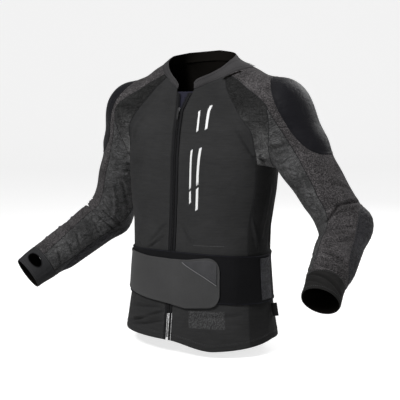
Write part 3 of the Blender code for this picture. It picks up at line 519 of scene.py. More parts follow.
def fold_height(p):
    """Height of the folds at points on the form: torso folds, then each arm's, none under belt and pads."""
    angle = np.degrees(np.arctan2(p[..., 0], -p[..., 1]))
    x, z = np.radians(angle) * BODY_CHART, p[..., 2]
    height = np.zeros(p.shape[:-1])
    for a0, z0, a1, z1, half, rise in TORSO_FOLDS:
        middle = (a0 + a1) / 2
        near = np.radians(middle + (angle - middle + 180) % 360 - 180) * BODY_CHART
        ends = (np.radians(a0) * BODY_CHART, z0 / 1000, np.radians(a1) * BODY_CHART, z1 / 1000)
        height += ridge(near, z, ends, half / 1000, rise / 1000 * TORSO_FOLD_SCALE)
    height += 0.0004 * (np.sin(31 * z + 9 * x + 0.4) + np.sin(47 * x - 23 * z + 1.1))
    middle = -((BELT_TOP + BELT_BOTTOM) / 2 + BELT_SAG * np.sin(np.radians(angle)) ** 2) * BODY_LENGTH
    middle = np.where(p[..., 1] < 0, middle - 0.006, middle)
    half = (BELT_BOTTOM - BELT_TOP) / 2 * BODY_LENGTH + 0.003
    height *= ease((np.abs(z - middle) - half + 0.001) / 0.010)
    off = column(p)
    height *= 1 - ease((off - 0.002) / 0.012)
    for side, arm in ARMS.items():
        mine = (off > 0.001) & (p[..., 0] * arm["sign"] > 0)
        if not mine.any():
            continue
        share, turn = arm_chart(side, p[mine])
        long = arm_spans(arm)[3].sum()
        girth = arm["elbow_r"]
        more = np.zeros(share.shape)
        for s0, t0, s1, t1, half, rise in ARM_FOLDS[side]:
            middle = (t0 + t1) / 2
            y = np.radians(middle + (turn - middle + 180) % 360 - 180) * girth
            ends = (s0 * long, np.radians(t0) * girth, s1 * long, np.radians(t1) * girth)
            more += ridge(share * long, y, ends, half / 1000, rise / 1000)
        more += 0.0004 * (np.sin(share * 40 + turn / 40) + np.sin(share * 23 - turn / 25 + 2))
        for kind in ("shoulder", "elbow"):
            more *= ease((pad_reach(kind, side, share, turn) - 1.0) / 0.12)
        height[mine] += more * ARM_FOLD_SCALE * ease((off[mine] - 0.001) / 0.014)
    return height


def edge_distance(grid, closed=False):
    """How far each point of a grid lies from its nearest edge, along the grid's own rows and columns."""
    down = np.linalg.norm(np.diff(grid, axis=0), axis=-1)
    down = np.concatenate([np.zeros((1, grid.shape[1])), np.cumsum(down, axis=0)])
    found = np.minimum(down, down[-1:] - down)
    if not closed:
        over = np.linalg.norm(np.diff(grid, axis=1), axis=-1)
        over = np.concatenate([np.zeros((grid.shape[0], 1)), np.cumsum(over, axis=1)], axis=1)
        found = np.minimum(found, np.minimum(over, over[:, -1:] - over))
    return found


def dressed(grid, height=0.0):
    """Points on the form raised by its folds and by a height."""
    return grid + outward(grid) * (fold_height(grid) + height)[..., None]


def seamed(grid, closed=False):
    """A cloth panel: folds all over it, dipping to its seams like a bell upside down."""
    off = edge_distance(grid, closed)
    return dressed(grid, -SEAM_DIP * np.exp(-((off / SEAM_DIP_WIDTH) ** 2)))


# Meshes


def grid_quads(rows, cols, closed=False):
    """Quads of a grid of points; a closed grid joins its last column to its first."""
    r, c = np.meshgrid(np.arange(rows - 1), np.arange(cols if closed else cols - 1), indexing="ij")
    n = (c + 1) % cols
    quads = np.stack([r * cols + c, (r + 1) * cols + c, (r + 1) * cols + n, r * cols + n], axis=-1)
    return quads.reshape(-1, 4)


def grid_map(grid, closed=False):
    """Corner places on the cloth in metres: mean width across and mean length down."""
    ring = np.concatenate([grid, grid[:, :1]], axis=1) if closed else grid
    u = np.concatenate([[0], np.cumsum(np.linalg.norm(np.diff(ring, axis=1), axis=-1).mean(axis=0))])
    v = np.concatenate([[0], np.cumsum(np.linalg.norm(np.diff(ring, axis=0), axis=-1).mean(axis=1))])
    r, c = np.meshgrid(np.arange(len(v) - 1), np.arange(len(u) - 1), indexing="ij")
    corners = np.stack([
        np.stack([u[c], v[r]], -1), np.stack([u[c], v[r + 1]], -1),
        np.stack([u[c + 1], v[r + 1]], -1), np.stack([u[c + 1], v[r]], -1),
    ], axis=-2)
    return corners.reshape(-1, 4, 2)


def add_mesh(name, points, faces, finish, places=None):
    """A smooth object of the given points and faces, with its cloth map."""
    mesh = bpy.data.meshes.new(name)
    mesh.from_pydata(np.asarray(points).reshape(-1, 3).tolist(), [], np.asarray(faces).tolist())
    if places is None:
        places = np.zeros((len(faces), len(faces[0]), 2))
    layer = mesh.uv_layers.new(name="cloth")
    layer.data.foreach_set("uv", np.asarray(places, np.float32).ravel())
    mesh.shade_smooth()
    made = bpy.data.objects.new(name, mesh)
    bpy.context.scene.collection.objects.link(made)
    for each in finish if isinstance(finish, (list, tuple)) else [finish]:
        mesh.materials.append(each)
    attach(made, "root")
    return made


def add_cloth(name, grid, wall, finish, node=None, closed=False):
    """A sheet on a grid, turned outwards, with its wall on its inner side and its cloth map in metres."""
    rows, cols = grid.shape[:2]
    quads, places = grid_quads(rows, cols, closed), grid_map(grid, closed)
    flat = grid.reshape(-1, 3)
    a, b, c, d = (flat[quads[:, k]] for k in range(4))
    facing = np.cross(c - a, d - b) / 2
    middle = (a + c) / 2
    out = outward(middle)
    if (facing * out).sum() < 0:
        quads, places = quads[:, ::-1], places[:, ::-1]
    # Inner faces take the near-black inner side: painted shade of the garment's inside
    made = add_mesh(name, flat, quads, [finish, painted_inner_shade()], places)
    solid = made.modifiers.new("Wall", "SOLIDIFY")
    solid.thickness, solid.offset = wall, -1
    solid.material_offset, solid.material_offset_rim = 1, 0
    if node:
        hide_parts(node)
    return made


def outwards(points, faces):
    """Faces of a closed shape, turned round if they enclose less than nothing."""
    p = np.asarray(points).reshape(-1, 3)
    faces = np.asarray(faces)
    a = p[faces[:, 0]]
    size = sum(
        np.einsum("ij,ij->i", a, np.cross(p[faces[:, k]], p[faces[:, k + 1]])).sum()
        for k in range(1, faces.shape[1] - 1)
    )
    return faces if size > 0 else faces[:, ::-1]


def tube(line, radius, sides=8):
    """Rings of a cord round a line, with both ends drawn in to a point."""
    line = np.asarray(line, float)
    tangent = unit(np.gradient(line, axis=0))
    side = unit(np.cross(tangent, outward(line)))
    up = np.cross(side, tangent)
    turn = np.linspace(0, 2 * np.pi, sides, endpoint=False)
    reach = np.full(len(line), radius)
    reach[[0, -1]] = radius * 0.05
    ring = np.cos(turn)[None, :, None] * side[:, None] + np.sin(turn)[None, :, None] * up[:, None]
    return line[:, None] + ring * reach[:, None, None]


def capped(rows, cols):
    """Quads of a closed tube of rings, with each end ring closed by quads across it."""
    sides = grid_quads(rows, cols, True)
    k = np.arange(cols // 2 - 1)
    first = np.stack([k, k + 1, cols - 2 - k, cols - 1 - k], axis=-1)
    return np.concatenate([sides, first[:, ::-1], (rows - 1) * cols + first])


def add_cord(name, line, radius, finish, node=None, sides=8):
    """A thin cord laid along a line."""
    rings = tube(line, radius, sides)
    faces = outwards(rings, capped(len(line), sides))
    made = add_mesh(name, rings, faces, finish)
    if node:
        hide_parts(node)
    return made


def strip(line, half, height, rise=0.0):
    """Three lanes along a line on the form: both edges at a height and the middle raised over them."""
    line = np.asarray(line, float)
    way = outward(line)
    side = unit(np.cross(np.gradient(line, axis=0), way))
    base = line + way * (fold_height(line) + height)[:, None]
    return np.stack([base - side * half, base + way * rise, base + side * half], axis=1)


def spindles(centre, tangent, normal, long, thick):
    """Points and faces of six-sided spindles with blunt ends, one at each centre."""
    profile = np.array([(-0.5, 0.05), (-0.38, 0.8), (0.0, 1.0), (0.38, 0.8), (0.5, 0.05)])
    turn = np.linspace(0, 2 * np.pi, 6, endpoint=False)[None, None, :, None]
    side = unit(np.cross(tangent, normal))
    along = tangent[:, None, None] * (profile[:, 0] * long)[None, :, None, None]
    ring = side[:, None, None] * np.cos(turn) + normal[:, None, None] * np.sin(turn)
    points = centre[:, None, None] + along + ring * (profile[:, 1] * thick)[None, :, None, None]
    one = outwards(points[0], capped(len(profile), 6))
    count = len(profile) * 6
    return points.reshape(-1, 3), (one[None] + np.arange(len(points))[:, None, None] * count).reshape(-1, 4)


def stitches(lines, long=0.0030, pitch=0.0044, thick=0.00038, lift=0.0002):
    """Stitches at even steps along lines settled on the form."""
    found = []
    for line in lines:
        line = np.asarray(line, float)
        way = run_along(line)
        at = np.arange(pitch / 2, way[-1], pitch)
        if not len(at):
            continue
        centre, ahead = read_at(at, way, line), read_at(at + pitch / 4, way, line)
        tangent = unit(ahead - centre + 1e-9)
        normal = outward(centre)
        centre = centre + normal * (fold_height(centre) + lift)[:, None]
        found.append((centre, tangent, np.cross(unit(np.cross(tangent, normal)), tangent)))
    return spindles(*(np.concatenate(each) for each in zip(*found)), long, thick)


def add_strip(name, grid, finish):
    """A thin raised strip on a grid, turned outwards, with a wall of half a millimetre."""
    quads = grid_quads(*grid.shape[:2])
    a, b, c = (grid.reshape(-1, 3)[quads[:, k]] for k in (0, 1, 2))
    if (np.cross(b - a, c - a) * outward(a)).sum() < 0:
        quads = quads[:, ::-1]
    made = add_mesh(name, grid, quads, finish)
    wall = made.modifiers.new("Wall", "SOLIDIFY")
    wall.thickness, wall.offset = 0.0005, -1


def add_stitches(name, lines, finish, slot, **sizes):
    """One object of all stitches along some lines."""
    points, faces = stitches(lines, **sizes)
    made = add_mesh(name, points, faces, finish)
    return made


def lozenge(centre, axes, size, power=5.0, steps=(24, 12)):
    """A rounded block: a superellipsoid of the given size along its three axes."""
    a = np.linspace(0, 2 * np.pi, steps[0], endpoint=False)
    b = np.linspace(-np.pi / 2, np.pi / 2, steps[1] + 1)
    b[0], b[-1] = b[0] * 0.995, b[-1] * 0.995
    a, b = np.meshgrid(a, b)
    waves = np.stack([np.cos(a), np.sin(a), np.cos(b), np.sin(b)])
    cos_a, sin_a, cos_b, sin_b = np.sign(waves) * np.abs(waves) ** (2 / power)
    local = np.stack([cos_b * cos_a, cos_b * sin_a, sin_b], -1)
    return np.asarray(centre) + (local * np.asarray(size) / 2) @ np.asarray(axes)


def add_solid(name, grids, finish, node=None):
    """One object of several closed rings of points, each capped at both ends."""
    points, faces, count = [], [], 0
    for grid in grids:
        rows, cols = grid.shape[:2]
        faces.append(outwards(grid, capped(rows, cols)) + count)
        points.append(grid.reshape(-1, 3))
        count += rows * cols
    made = add_mesh(name, np.concatenate(points), np.concatenate(faces), finish)
    if node:
        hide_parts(node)
    return made


# Materials


def node(tree, kind, **values):
    """A new shader node: names of inputs take values or links, other names are its own settings."""
    made = tree.nodes.new("ShaderNode" + kind)
    for key, value in values.items():
        if hasattr(made, key) and key not in made.inputs:
            setattr(made, key, value)
    for key, value in values.items():
        name = key.replace("_", " ")
        socket = made.inputs.get(key) or made.inputs.get(name) or made.inputs.get(name.title())
        if key[0] == "i" and key[1:].isdigit():
            socket = made.inputs[int(key[1:])]
        elif hasattr(made, key):
            continue
        if isinstance(value, bpy.types.NodeSocket):
            tree.links.new(value, socket)
        else:
            socket.default_value = value
    return made


def math(tree, operation, a, b=0.0, c=None):
    """One step of shader arithmetic."""
    extra = {} if c is None else {"i2": c}
    return node(tree, "Math", operation=operation, i0=a, i1=b, **extra).outputs[0]


def new_group(name, inputs, outputs):
    """A shader node group with named sockets: (name, kind, default)."""
    group = bpy.data.node_groups.new(name, "ShaderNodeTree")
    for label, kind, value in inputs:
        made = group.interface.new_socket(name=label, in_out="INPUT", socket_type="NodeSocket" + kind)
        if value is not None:
            made.default_value = value
    for label, kind in outputs:
        group.interface.new_socket(name=label, in_out="OUTPUT", socket_type="NodeSocket" + kind)
    return group, group.nodes.new("NodeGroupInput").outputs, group.nodes.new("NodeGroupOutput").inputs


def place_group(tree, name, **values):
    """A shared effect set into a material, its inputs given by name."""
    made = tree.nodes.new("ShaderNodeGroup")
    made.node_tree = bpy.data.node_groups[name]
    for key, value in values.items():
        socket = made.inputs[key.replace("_", " ")]
        if isinstance(value, bpy.types.NodeSocket):
            tree.links.new(value, socket)
        else:
            socket.default_value = value
    return made.outputs


def build_groups():
    """The effects that several finishes share, each built once."""
    group, given, out = new_group(
        "Knit", [("Place", "Vector", None), ("Pitch", "Float", 0.001), ("Skew", "Float", 1.0)],
        [("Height", "Float"), ("Mask", "Float")])
    # Two crossed waves of thread; the loops lean where the second wave shifts the first
    axes = node(group, "SeparateXYZ", i0=given["Place"]).outputs
    turns = math(group, "DIVIDE", 6.28318, given["Pitch"])
    down = math(group, "MULTIPLY", axes[1], turns)
    over = math(group, "MULTIPLY", math(group, "MULTIPLY", axes[0], turns), given["Skew"])
    shift = math(group, "MULTIPLY", math(group, "SINE", down), 0.9)
    wave = math(group, "SINE", math(group, "ADD", over, shift))
    second = math(group, "SINE", down)
    height = math(group, "MULTIPLY_ADD", math(group, "MULTIPLY", wave, second), 0.25, 0.5)
    height = math(group, "MULTIPLY_ADD", wave, 0.2, height)
    group.links.new(height, out["Height"])
    group.links.new(math(group, "SMOOTH_MIN", math(group, "MULTIPLY", height, 1.4), 1.0, 0.3), out["Mask"])

    black = (0, 0, 0, 1)
    group, given, out = new_group(
        "Heather", [("Place", "Vector", None), ("Dark", "Color", black), ("Middle", "Color", black),
                    ("Light", "Color", black), ("Grain", "Float", 1.0)],
        [("Color", "Color"), ("Mask", "Float")])
    # Streaky flecks of two sizes drawn out along the knit, light fibres in a dark ground
    grain = node(group, "VectorMath", operation="SCALE", i0=given["Place"])
    group.links.new(given["Grain"], grain.inputs["Scale"])
    wide = node(group, "Mapping", Vector=grain.outputs[0], Scale=(260, 520, 400))
    fine = node(group, "Mapping", Vector=grain.outputs[0], Scale=(700, 1500, 1100))
    one = node(group, "TexNoise", Vector=wide.outputs[0], Scale=1.0, Detail=3.0, Roughness=0.6).outputs[0]
    two = node(group, "TexNoise", Vector=fine.outputs[0], Scale=1.0, Detail=2.0, Roughness=0.7).outputs[0]
    mixed = math(group, "MULTIPLY_ADD", one, 0.6, math(group, "MULTIPLY", two, 0.4))
    low = node(group, "MapRange", Value=mixed, i1=0.34, i2=0.50)
    high = node(group, "MapRange", Value=mixed, i1=0.50, i2=0.64)
    first = node(group, "Mix", data_type="RGBA", i0=low.outputs[0], i6=given["Dark"], i7=given["Middle"])
    second = node(group, "Mix", data_type="RGBA", i0=high.outputs[0], i6=first.outputs[2], i7=given["Light"])
    group.links.new(second.outputs[2], out["Color"])
    group.links.new(mixed, out["Mask"])

    group, given, out = new_group(
        "Mesh Holes", [("Place", "Vector", None), ("Pitch", "Float", 0.0022)],
        [("Hole", "Float"), ("Height", "Float")])
    # Round holes in rows, every other row moved over by half a step
    axes = node(group, "SeparateXYZ", i0=given["Place"]).outputs
    row = math(group, "DIVIDE", axes[1], math(group, "MULTIPLY", given["Pitch"], 0.866))
    odd = math(group, "MULTIPLY", math(group, "FLOORED_MODULO", math(group, "FLOOR", row), 2.0), 0.5)
    col = math(group, "ADD", math(group, "DIVIDE", axes[0], given["Pitch"]), odd)
    x = math(group, "SUBTRACT", math(group, "FRACT", col), 0.5)
    y = math(group, "MULTIPLY", math(group, "SUBTRACT", math(group, "FRACT", row), 0.5), 0.866)
    squares = math(group, "MULTIPLY", x, x), math(group, "MULTIPLY", y, y)
    far = math(group, "SQRT", math(group, "ADD", *squares))
    hole = node(group, "MapRange", Value=far, i1=0.34, i2=0.20, i3=0.0, i4=1.0).outputs[0]
    group.links.new(hole, out["Hole"])
    group.links.new(math(group, "SUBTRACT", 1.0, hole), out["Height"])

    group, given, out = new_group(
        "Wear And Painted Fold Shade", [("Place", "Vector", None), ("Color", "Color", (0, 0, 0, 1)), ("Spread", "Float", 0.2),
                      ("Size", "Float", 12.0)],
        [("Color", "Color"), ("Tone", "Float")])
    # Slow changes of tone over the cloth, as from wear and the way that knit takes dye; on the yoke they are
    # broad and strong as painted shade and highlight of its folds
    cloud = node(group, "TexNoise", Vector=given["Place"], Scale=given["Size"], Detail=4.0, Roughness=0.55)
    tone = node(group, "MapRange", Value=cloud.outputs[0], i1=0.3, i2=0.7, i3=-1.0, i4=1.0).outputs[0]
    value = math(group, "MULTIPLY_ADD", tone, given["Spread"], 1.0)
    colour = node(group, "VectorMath", operation="SCALE", i0=given["Color"])
    group.links.new(value, colour.inputs["Scale"])
    group.links.new(colour.outputs[0], out["Color"])
    group.links.new(tone, out["Tone"])

    group, given, out = new_group(
        "Ribs", [("Place", "Vector", None), ("Pitch", "Float", 0.003), ("Sharp", "Float", 1.0)],
        [("Height", "Float")])
    # Even ribs across the first axis: a raised sine to a power
    axes = node(group, "SeparateXYZ", i0=given["Place"]).outputs
    turns = math(group, "DIVIDE", 6.28318, given["Pitch"])
    wave = math(group, "MULTIPLY_ADD", math(group, "SINE", math(group, "MULTIPLY", axes[0], turns)), 0.5, 0.5)
    group.links.new(math(group, "POWER", wave, given["Sharp"]), out["Height"])


def finish(name, roughness, sheen=0.0, specular=0.5, sheen_rough=0.4, coat=0.0):
    """A new material with its shader, the cloth map and the object's coordinates."""
    made = bpy.data.materials.new(f"{name}_look")
    made.use_nodes = True
    tree = made.node_tree
    shader = tree.nodes["Principled BSDF"]
    shader.inputs["Roughness"].default_value = roughness
    shader.inputs["Sheen Weight"].default_value = sheen
    shader.inputs["Sheen Roughness"].default_value = sheen_rough
    shader.inputs["Specular IOR Level"].default_value = specular
    shader.inputs["Coat Weight"].default_value = coat
    places = tree.nodes.new("ShaderNodeTexCoord").outputs
    return made, tree, shader, places["UV"], places["Object"]


def paint(tree, shader, colour, level):
    """Makes the base colour a colour times a level."""
    mixed = node(tree, "VectorMath", operation="SCALE", i0=colour)
    tree.links.new(level, mixed.inputs["Scale"])
    tree.links.new(mixed.outputs[0], shader.inputs["Base Color"])


def worn(tree, place, colour, spread, size):
    """A colour with slow changes of tone over the cloth."""
    return place_group(tree, "Wear And Painted Fold Shade", Place=place, Color=(*colour, 1), Spread=spread, Size=size)["Color"]


def bump(tree, shader, height, strength, distance):
    """Bends the shader's normal by a height."""
    made = node(tree, "Bump", Height=height)
    made.inputs["Strength"].default_value = strength
    made.inputs["Distance"].default_value = distance
    tree.links.new(made.outputs[0], shader.inputs["Normal"])


def wrinkles(tree, shader, place, stretch, distance):
    """Fine random creases under the relief that a finish already has: noise stretched along an axis."""
    drawn = node(tree, "Mapping", Vector=place, Scale=stretch)
    noise = node(
        tree, "TexNoise", Vector=drawn.outputs[0], Scale=1.0, Detail=5.0, Roughness=0.62, Distortion=1.3)
    made = node(tree, "Bump", Height=noise.outputs[0])
    made.inputs["Strength"].default_value = 1.0
    made.inputs["Distance"].default_value = distance
    relief = shader.inputs["Normal"].links[0].from_node
    tree.links.new(made.outputs[0], relief.inputs["Normal"])
    return noise.outputs[0]


def known(name):
    """The finish of this name if it has been made."""
    return bpy.data.materials.get(f"{name}_look")


def painted_inner_shade():
    """The inner side that every cloth shows through its openings, painted near black as the shade inside the
    garment.
    """
    if known("painted_inner_shade"):
        return known("painted_inner_shade")
    made, tree, shader, cloth, place = finish("painted_inner_shade", 0.95, specular=0.1)
    # Near black with a brown cast: painted shade inside the garment
    tone = worn(tree, place, (0.0030, 0.0024, 0.0018), 0.3, 18.0)
    tree.links.new(tone, shader.inputs["Base Color"])
    knit = place_group(tree, "Knit", Place=cloth, Pitch=0.0016)
    bump(tree, shader, knit["Height"], 0.3, 0.0003)
    return made


def chest_marks(tree, place):
    """How much lighter the chest is at its speckled patch under the belt and at the dotted line over it."""
    axes = node(tree, "SeparateXYZ", i0=place).outputs
    turn = math(tree, "DEGREES", math(tree, "ARCTAN2", axes[0], math(tree, "MULTIPLY", axes[1], -1.0)))
    speck = node(tree, "TexNoise", Vector=place, Scale=420.0, Detail=2.0, Roughness=0.7).outputs[0]
    found = []
    for angles, heights, soft, gain in (
        ((21.5, 52.0), (-0.579, -0.537), (0.8, 0.0030), 1.9),
        ((25.0, 53.0), (-0.3912, -0.3892), (0.3, 0.0004), 1.3),
    ):
        mask = gain
        for value, (low, high), edge in ((turn, angles, soft[0]), (axes[2], heights, soft[1])):
            one = node(tree, "MapRange", Value=value, i1=low, i2=low + edge).outputs[0]
            two = node(tree, "MapRange", Value=value, i1=high, i2=high - edge).outputs[0]
            mask = math(tree, "MULTIPLY", math(tree, "MULTIPLY", one, two), mask)
        found.append(mask)
    specks = node(tree, "MapRange", Value=speck, i1=0.44, i2=0.62).outputs[0]
    dots = math(tree, "GREATER_THAN", math(tree, "SINE", math(tree, "MULTIPLY", turn, 5.2)), -0.2)
    both = math(tree, "MULTIPLY", found[0], specks), math(tree, "MULTIPLY", found[1], dots)
    return math(tree, "ADD", *both)


def knit_finish(
        name, colour, pitch=0.0011, roughness=0.85, sheen=0.03, spread=0.15, stripe=0.10, relief=0.35,
        marks=False):
    """Close knit: thread relief, faint level streaks and slow changes of tone."""
    if known(name):
        return known(name)
    made, tree, shader, cloth, place = finish(name, roughness, sheen, specular=0.10)
    knit = place_group(tree, "Knit", Place=cloth, Pitch=pitch)
    tone = worn(tree, place, colour, spread, 9.0)
    streak = node(tree, "Mapping", Vector=place, Scale=(26, 26, 420))
    lines = node(tree, "TexNoise", Vector=streak.outputs[0], Scale=1.0, Detail=2.0, Roughness=0.6)
    level = node(tree, "MapRange", Value=lines.outputs[0], i1=0.3, i2=0.7, i3=1 - stripe, i4=1 + stripe)
    thread = node(tree, "MapRange", Value=knit["Mask"], i1=0.0, i2=1.0, i3=0.72, i4=1.12)
    value = math(tree, "MULTIPLY", level.outputs[0], thread.outputs[0])
    if marks:
        value = math(tree, "ADD", value, chest_marks(tree, place))
    paint(tree, shader, tone, value)
    bump(tree, shader, knit["Height"], relief, 0.0004)
    wrinkles(tree, shader, place, (16, 16, 26), 0.0030)
    return made


def mesh_finish(name, colour, hole, pitch=0.0022, roughness=0.6, sheen=0.04, painted_shade=None):
    """Open mesh: rows of holes painted dark as shade, between shiny threads, with wavy bands that are partly
    moiré where its layers cross and partly painted fold shade and highlight.

    The painted shade is a height, a lower one where it ends, and how much of the colour is left at the first:
    painted shade darkens the mesh towards the higher one, and its full colour lower down is a painted
    highlight.
    """
    if known(name):
        return known(name)
    made, tree, shader, cloth, place = finish(name, roughness, sheen, specular=0.18, sheen_rough=0.3)
    holes = place_group(tree, "Mesh Holes", Place=cloth, Pitch=pitch)
    # Wavy bands of tone: partly the moiré where the mesh layers cross, partly painted shade and highlight of
    # folds
    bands = node(tree, "TexNoise", Vector=place, Scale=26.0, Detail=3.0, Roughness=0.55, Distortion=1.6)
    rings = math(tree, "SINE", math(tree, "MULTIPLY", bands.outputs[0], 52.0))
    cross = node(tree, "MapRange", Value=rings, i1=-1.0, i2=1.0, i3=0.70, i4=1.42)
    tone = worn(tree, place, colour, 0.45, 22.0)
    thread = node(tree, "VectorMath", operation="SCALE", i0=tone)
    level = cross.outputs[0]
    # Painted shade: the mesh darker towards the top, its full colour lower down a painted highlight
    if painted_shade:
        height = node(tree, "SeparateXYZ", i0=place).outputs[2]
        dim = node(tree, "MapRange", Value=height, i1=painted_shade[1], i2=painted_shade[0], i3=1.0, i4=painted_shade[2])
        level = math(tree, "MULTIPLY", level, dim.outputs[0])
    tree.links.new(level, thread.inputs["Scale"])
    # The holes take a dark colour: painted shade in the openings
    mixed = node(tree, "Mix", data_type="RGBA", i0=holes["Hole"], i6=thread.outputs[0], i7=(*hole, 1))
    tree.links.new(mixed.outputs[2], shader.inputs["Base Color"])
    bump(tree, shader, holes["Height"], 0.5, 0.0005)
    wrinkles(tree, shader, place, (34, 34, 60), 0.0140)
    return made


def heather_finish():
    """Melange jersey: dark, middle and light fibres."""
    if known("yoke_heather"):
        return known("yoke_heather")
    made, tree, shader, cloth, place = finish("yoke_heather", 0.9, 0.05, specular=0.08)
    dark, middle, light = colours().heather_dark, colours().heather, colours().heather_light
    flecks = place_group(
        tree, "Heather", Place=place, Dark=(*dark, 1), Middle=(*middle, 1), Light=(*light, 1), Grain=1.0)
    # Broad, strong tone changes: painted shade and highlight of the yoke's folds, over the melange
    tone = place_group(tree, "Wear And Painted Fold Shade", Place=place, Color=flecks["Color"], Spread=0.30, Size=26.0)
    tree.links.new(tone["Color"], shader.inputs["Base Color"])
    knit = place_group(tree, "Knit", Place=cloth, Pitch=0.0012)
    height = math(tree, "MULTIPLY_ADD", flecks["Mask"], 0.6, knit["Height"])
    bump(tree, shader, height, 0.4, 0.0004)
    wrinkles(tree, shader, place, (30, 30, 46), 0.0110)
    return made


def thread_finish(name, colour, roughness=0.6):
    """Twisted sewing thread: fine slanted bands of tone."""
    if known(name):
        return known(name)
    made, tree, shader, _, place = finish(name, roughness, 0.02, specular=0.15)
    ply = node(tree, "TexWave", Vector=place, Scale=900.0, Distortion=1.0, bands_direction="DIAGONAL")
    tone = node(tree, "MapRange", Value=ply.outputs[1], i1=0.0, i2=1.0, i3=0.75, i4=1.15)
    paint(tree, shader, tuple(colour), tone.outputs[0])
    bump(tree, shader, ply.outputs[1], 0.2, 0.0002)
    return made


def moulded_finish(name, colour, roughness=0.4, grain=900.0, metallic=0.0):
    """Moulded plastic or painted metal: fine grain in the relief and in the gloss."""
    if known(name):
        return known(name)
    made, tree, shader, _, place = finish(name, roughness, specular=0.22)
    shader.inputs["Metallic"].default_value = metallic
    speck = node(tree, "TexNoise", Vector=place, Scale=grain, Detail=3.0, Roughness=0.6)
    tone = worn(tree, place, colour, 0.25, 120.0)
    tree.links.new(tone, shader.inputs["Base Color"])
    gloss = node(
        tree, "MapRange", Value=speck.outputs[0], i1=0.3, i2=0.7, i3=roughness - 0.08, i4=roughness + 0.1)
    tree.links.new(gloss.outputs[0], shader.inputs["Roughness"])
    bump(tree, shader, speck.outputs[0], 0.25, 0.0002)
    return made


def elastic_finish(name, colour, pitch=0.0030, roughness=0.75, sheen=0.02):
    """Woven elastic: ribs across and a fine weave over them."""
    if known(name):
        return known(name)
    made, tree, shader, cloth, place = finish(name, roughness, sheen, specular=0.10)
    ribs = place_group(tree, "Ribs", Place=cloth, Pitch=pitch, Sharp=0.7)
    weave = place_group(tree, "Knit", Place=cloth, Pitch=0.0010, Skew=0.8)
    tone = worn(tree, place, colour, 0.15, 8.0)
    level = node(tree, "MapRange", Value=ribs["Height"], i1=0.0, i2=1.0, i3=0.78, i4=1.12)
    paint(tree, shader, tone, level.outputs[0])
    height = math(tree, "MULTIPLY_ADD", weave["Height"], 0.35, ribs["Height"])
    bump(tree, shader, height, 0.35, 0.0004)
    return made


# Settings


def colour_prop(name, description, default):
    """A colour setting."""
    return FloatVectorProperty(
        name=name, description=description, subtype="COLOR", size=3, min=0, max=1, default=default)


def length_prop(name, description, default):
    """A length setting."""
    return FloatProperty(name=name, description=description, default=default, min=0, unit="LENGTH")


class JerseySizes(bpy.types.PropertyGroup):
    """Thicknesses and heights of the jersey's pieces"""

    cloth: length_prop("Cloth", "Thickness of the chest, back and yoke cloth", 0.0016)
    mesh_cloth: length_prop("Mesh", "Thickness of the open mesh", 0.0012)
    pad: length_prop("Pad", "How far a pad stands off the sleeve at its middle", 0.0056)
    pad_border: length_prop("Pad border", "Width of the flat border sewn round a pad", 0.0050)
    collar: length_prop("Collar", "Thickness of the doubled collar", 0.0028)
    band: length_prop("Band", "Thickness of the elastic belt", 0.0018)
    flap: length_prop("Flap", "Thickness of the belt's closing flap", 0.0020)
    lift: length_prop("Lift", "Clearance of a piece that lies on a panel", 0.0012)
    tooth: length_prop("Tooth pitch", "Distance from one zip tooth to the next on the same side", 0.0030)
    stitch: length_prop("Stitch", "Length of a sewn stitch", 0.0030)


class JerseyColours(bpy.types.PropertyGroup):
    """Colours of the jersey's cloths and trim"""

    chest: colour_prop("Chest", "Charcoal knit of the chest and back", (0.0285, 0.0285, 0.0290))
    side: colour_prop("Side", "Darker knit of the side panels", (0.0165, 0.0165, 0.0168))
    # The insert's colour is light for its painted highlight low by the armpit; mesh_finish paints it darker
    # towards the top as shade
    insert: colour_prop("Insert", "Mesh between chest and yoke", (0.1250, 0.1250, 0.1250))
    sleeve: colour_prop("Sleeve", "Mesh of the sleeves", (0.0790, 0.0790, 0.0800))
    sleeve_back: colour_prop("Sleeve back", "Darker cloth behind the underarm seam", (0.0560, 0.0560, 0.0580))
    heather: colour_prop("Heather", "Middle fibre of the yoke", (0.0480, 0.0448, 0.0460))
    heather_dark: colour_prop("Heather dark", "Dark fibre of the yoke", (0.0120, 0.0112, 0.0116))
    heather_light: colour_prop("Heather light", "Light fibre of the yoke", (0.1500, 0.1410, 0.1440))
    shoulder: colour_prop("Shoulder pad", "Smooth cloth over the shoulder armour", (0.0076, 0.0074, 0.0098))
    elbow: colour_prop("Elbow pad", "Cloth over the elbow armour", (0.0380, 0.0370, 0.0420))
    cuff: colour_prop("Cuff", "Right cuff", (0.0290, 0.0290, 0.0305))
    cuff_left: colour_prop("Left cuff", "Left cuff", (0.0160, 0.0156, 0.0152))
    collar: colour_prop("Collar", "Stand collar", (0.0450, 0.0435, 0.0450))
    piping: colour_prop("Piping", "Light cord at the collar seam", (0.4200, 0.4200, 0.4200))
    belt: colour_prop("Belt", "Elastic belt", (0.0068, 0.0068, 0.0078))
    flap: colour_prop("Flap", "Closing flap of the belt", (0.0500, 0.0500, 0.0505))
    stripe: colour_prop("Stripe", "The two printed chest stripes", (0.8200, 0.8200, 0.8200))
    thread: colour_prop("Thread", "Dark sewing thread", (0.0080, 0.0080, 0.0085))
    thread_pale: colour_prop("Pale thread", "Pale sewing thread", (0.0600, 0.0600, 0.0620))


def sizes():
    """The scene's jersey sizes."""
    return bpy.context.scene.jersey_sizes


def colours():
    """The scene's jersey colours."""
    return bpy.context.scene.jersey_colours


SEAMS = {side: torso_seams(side) for side in ARMS}
SLEEVES = {}


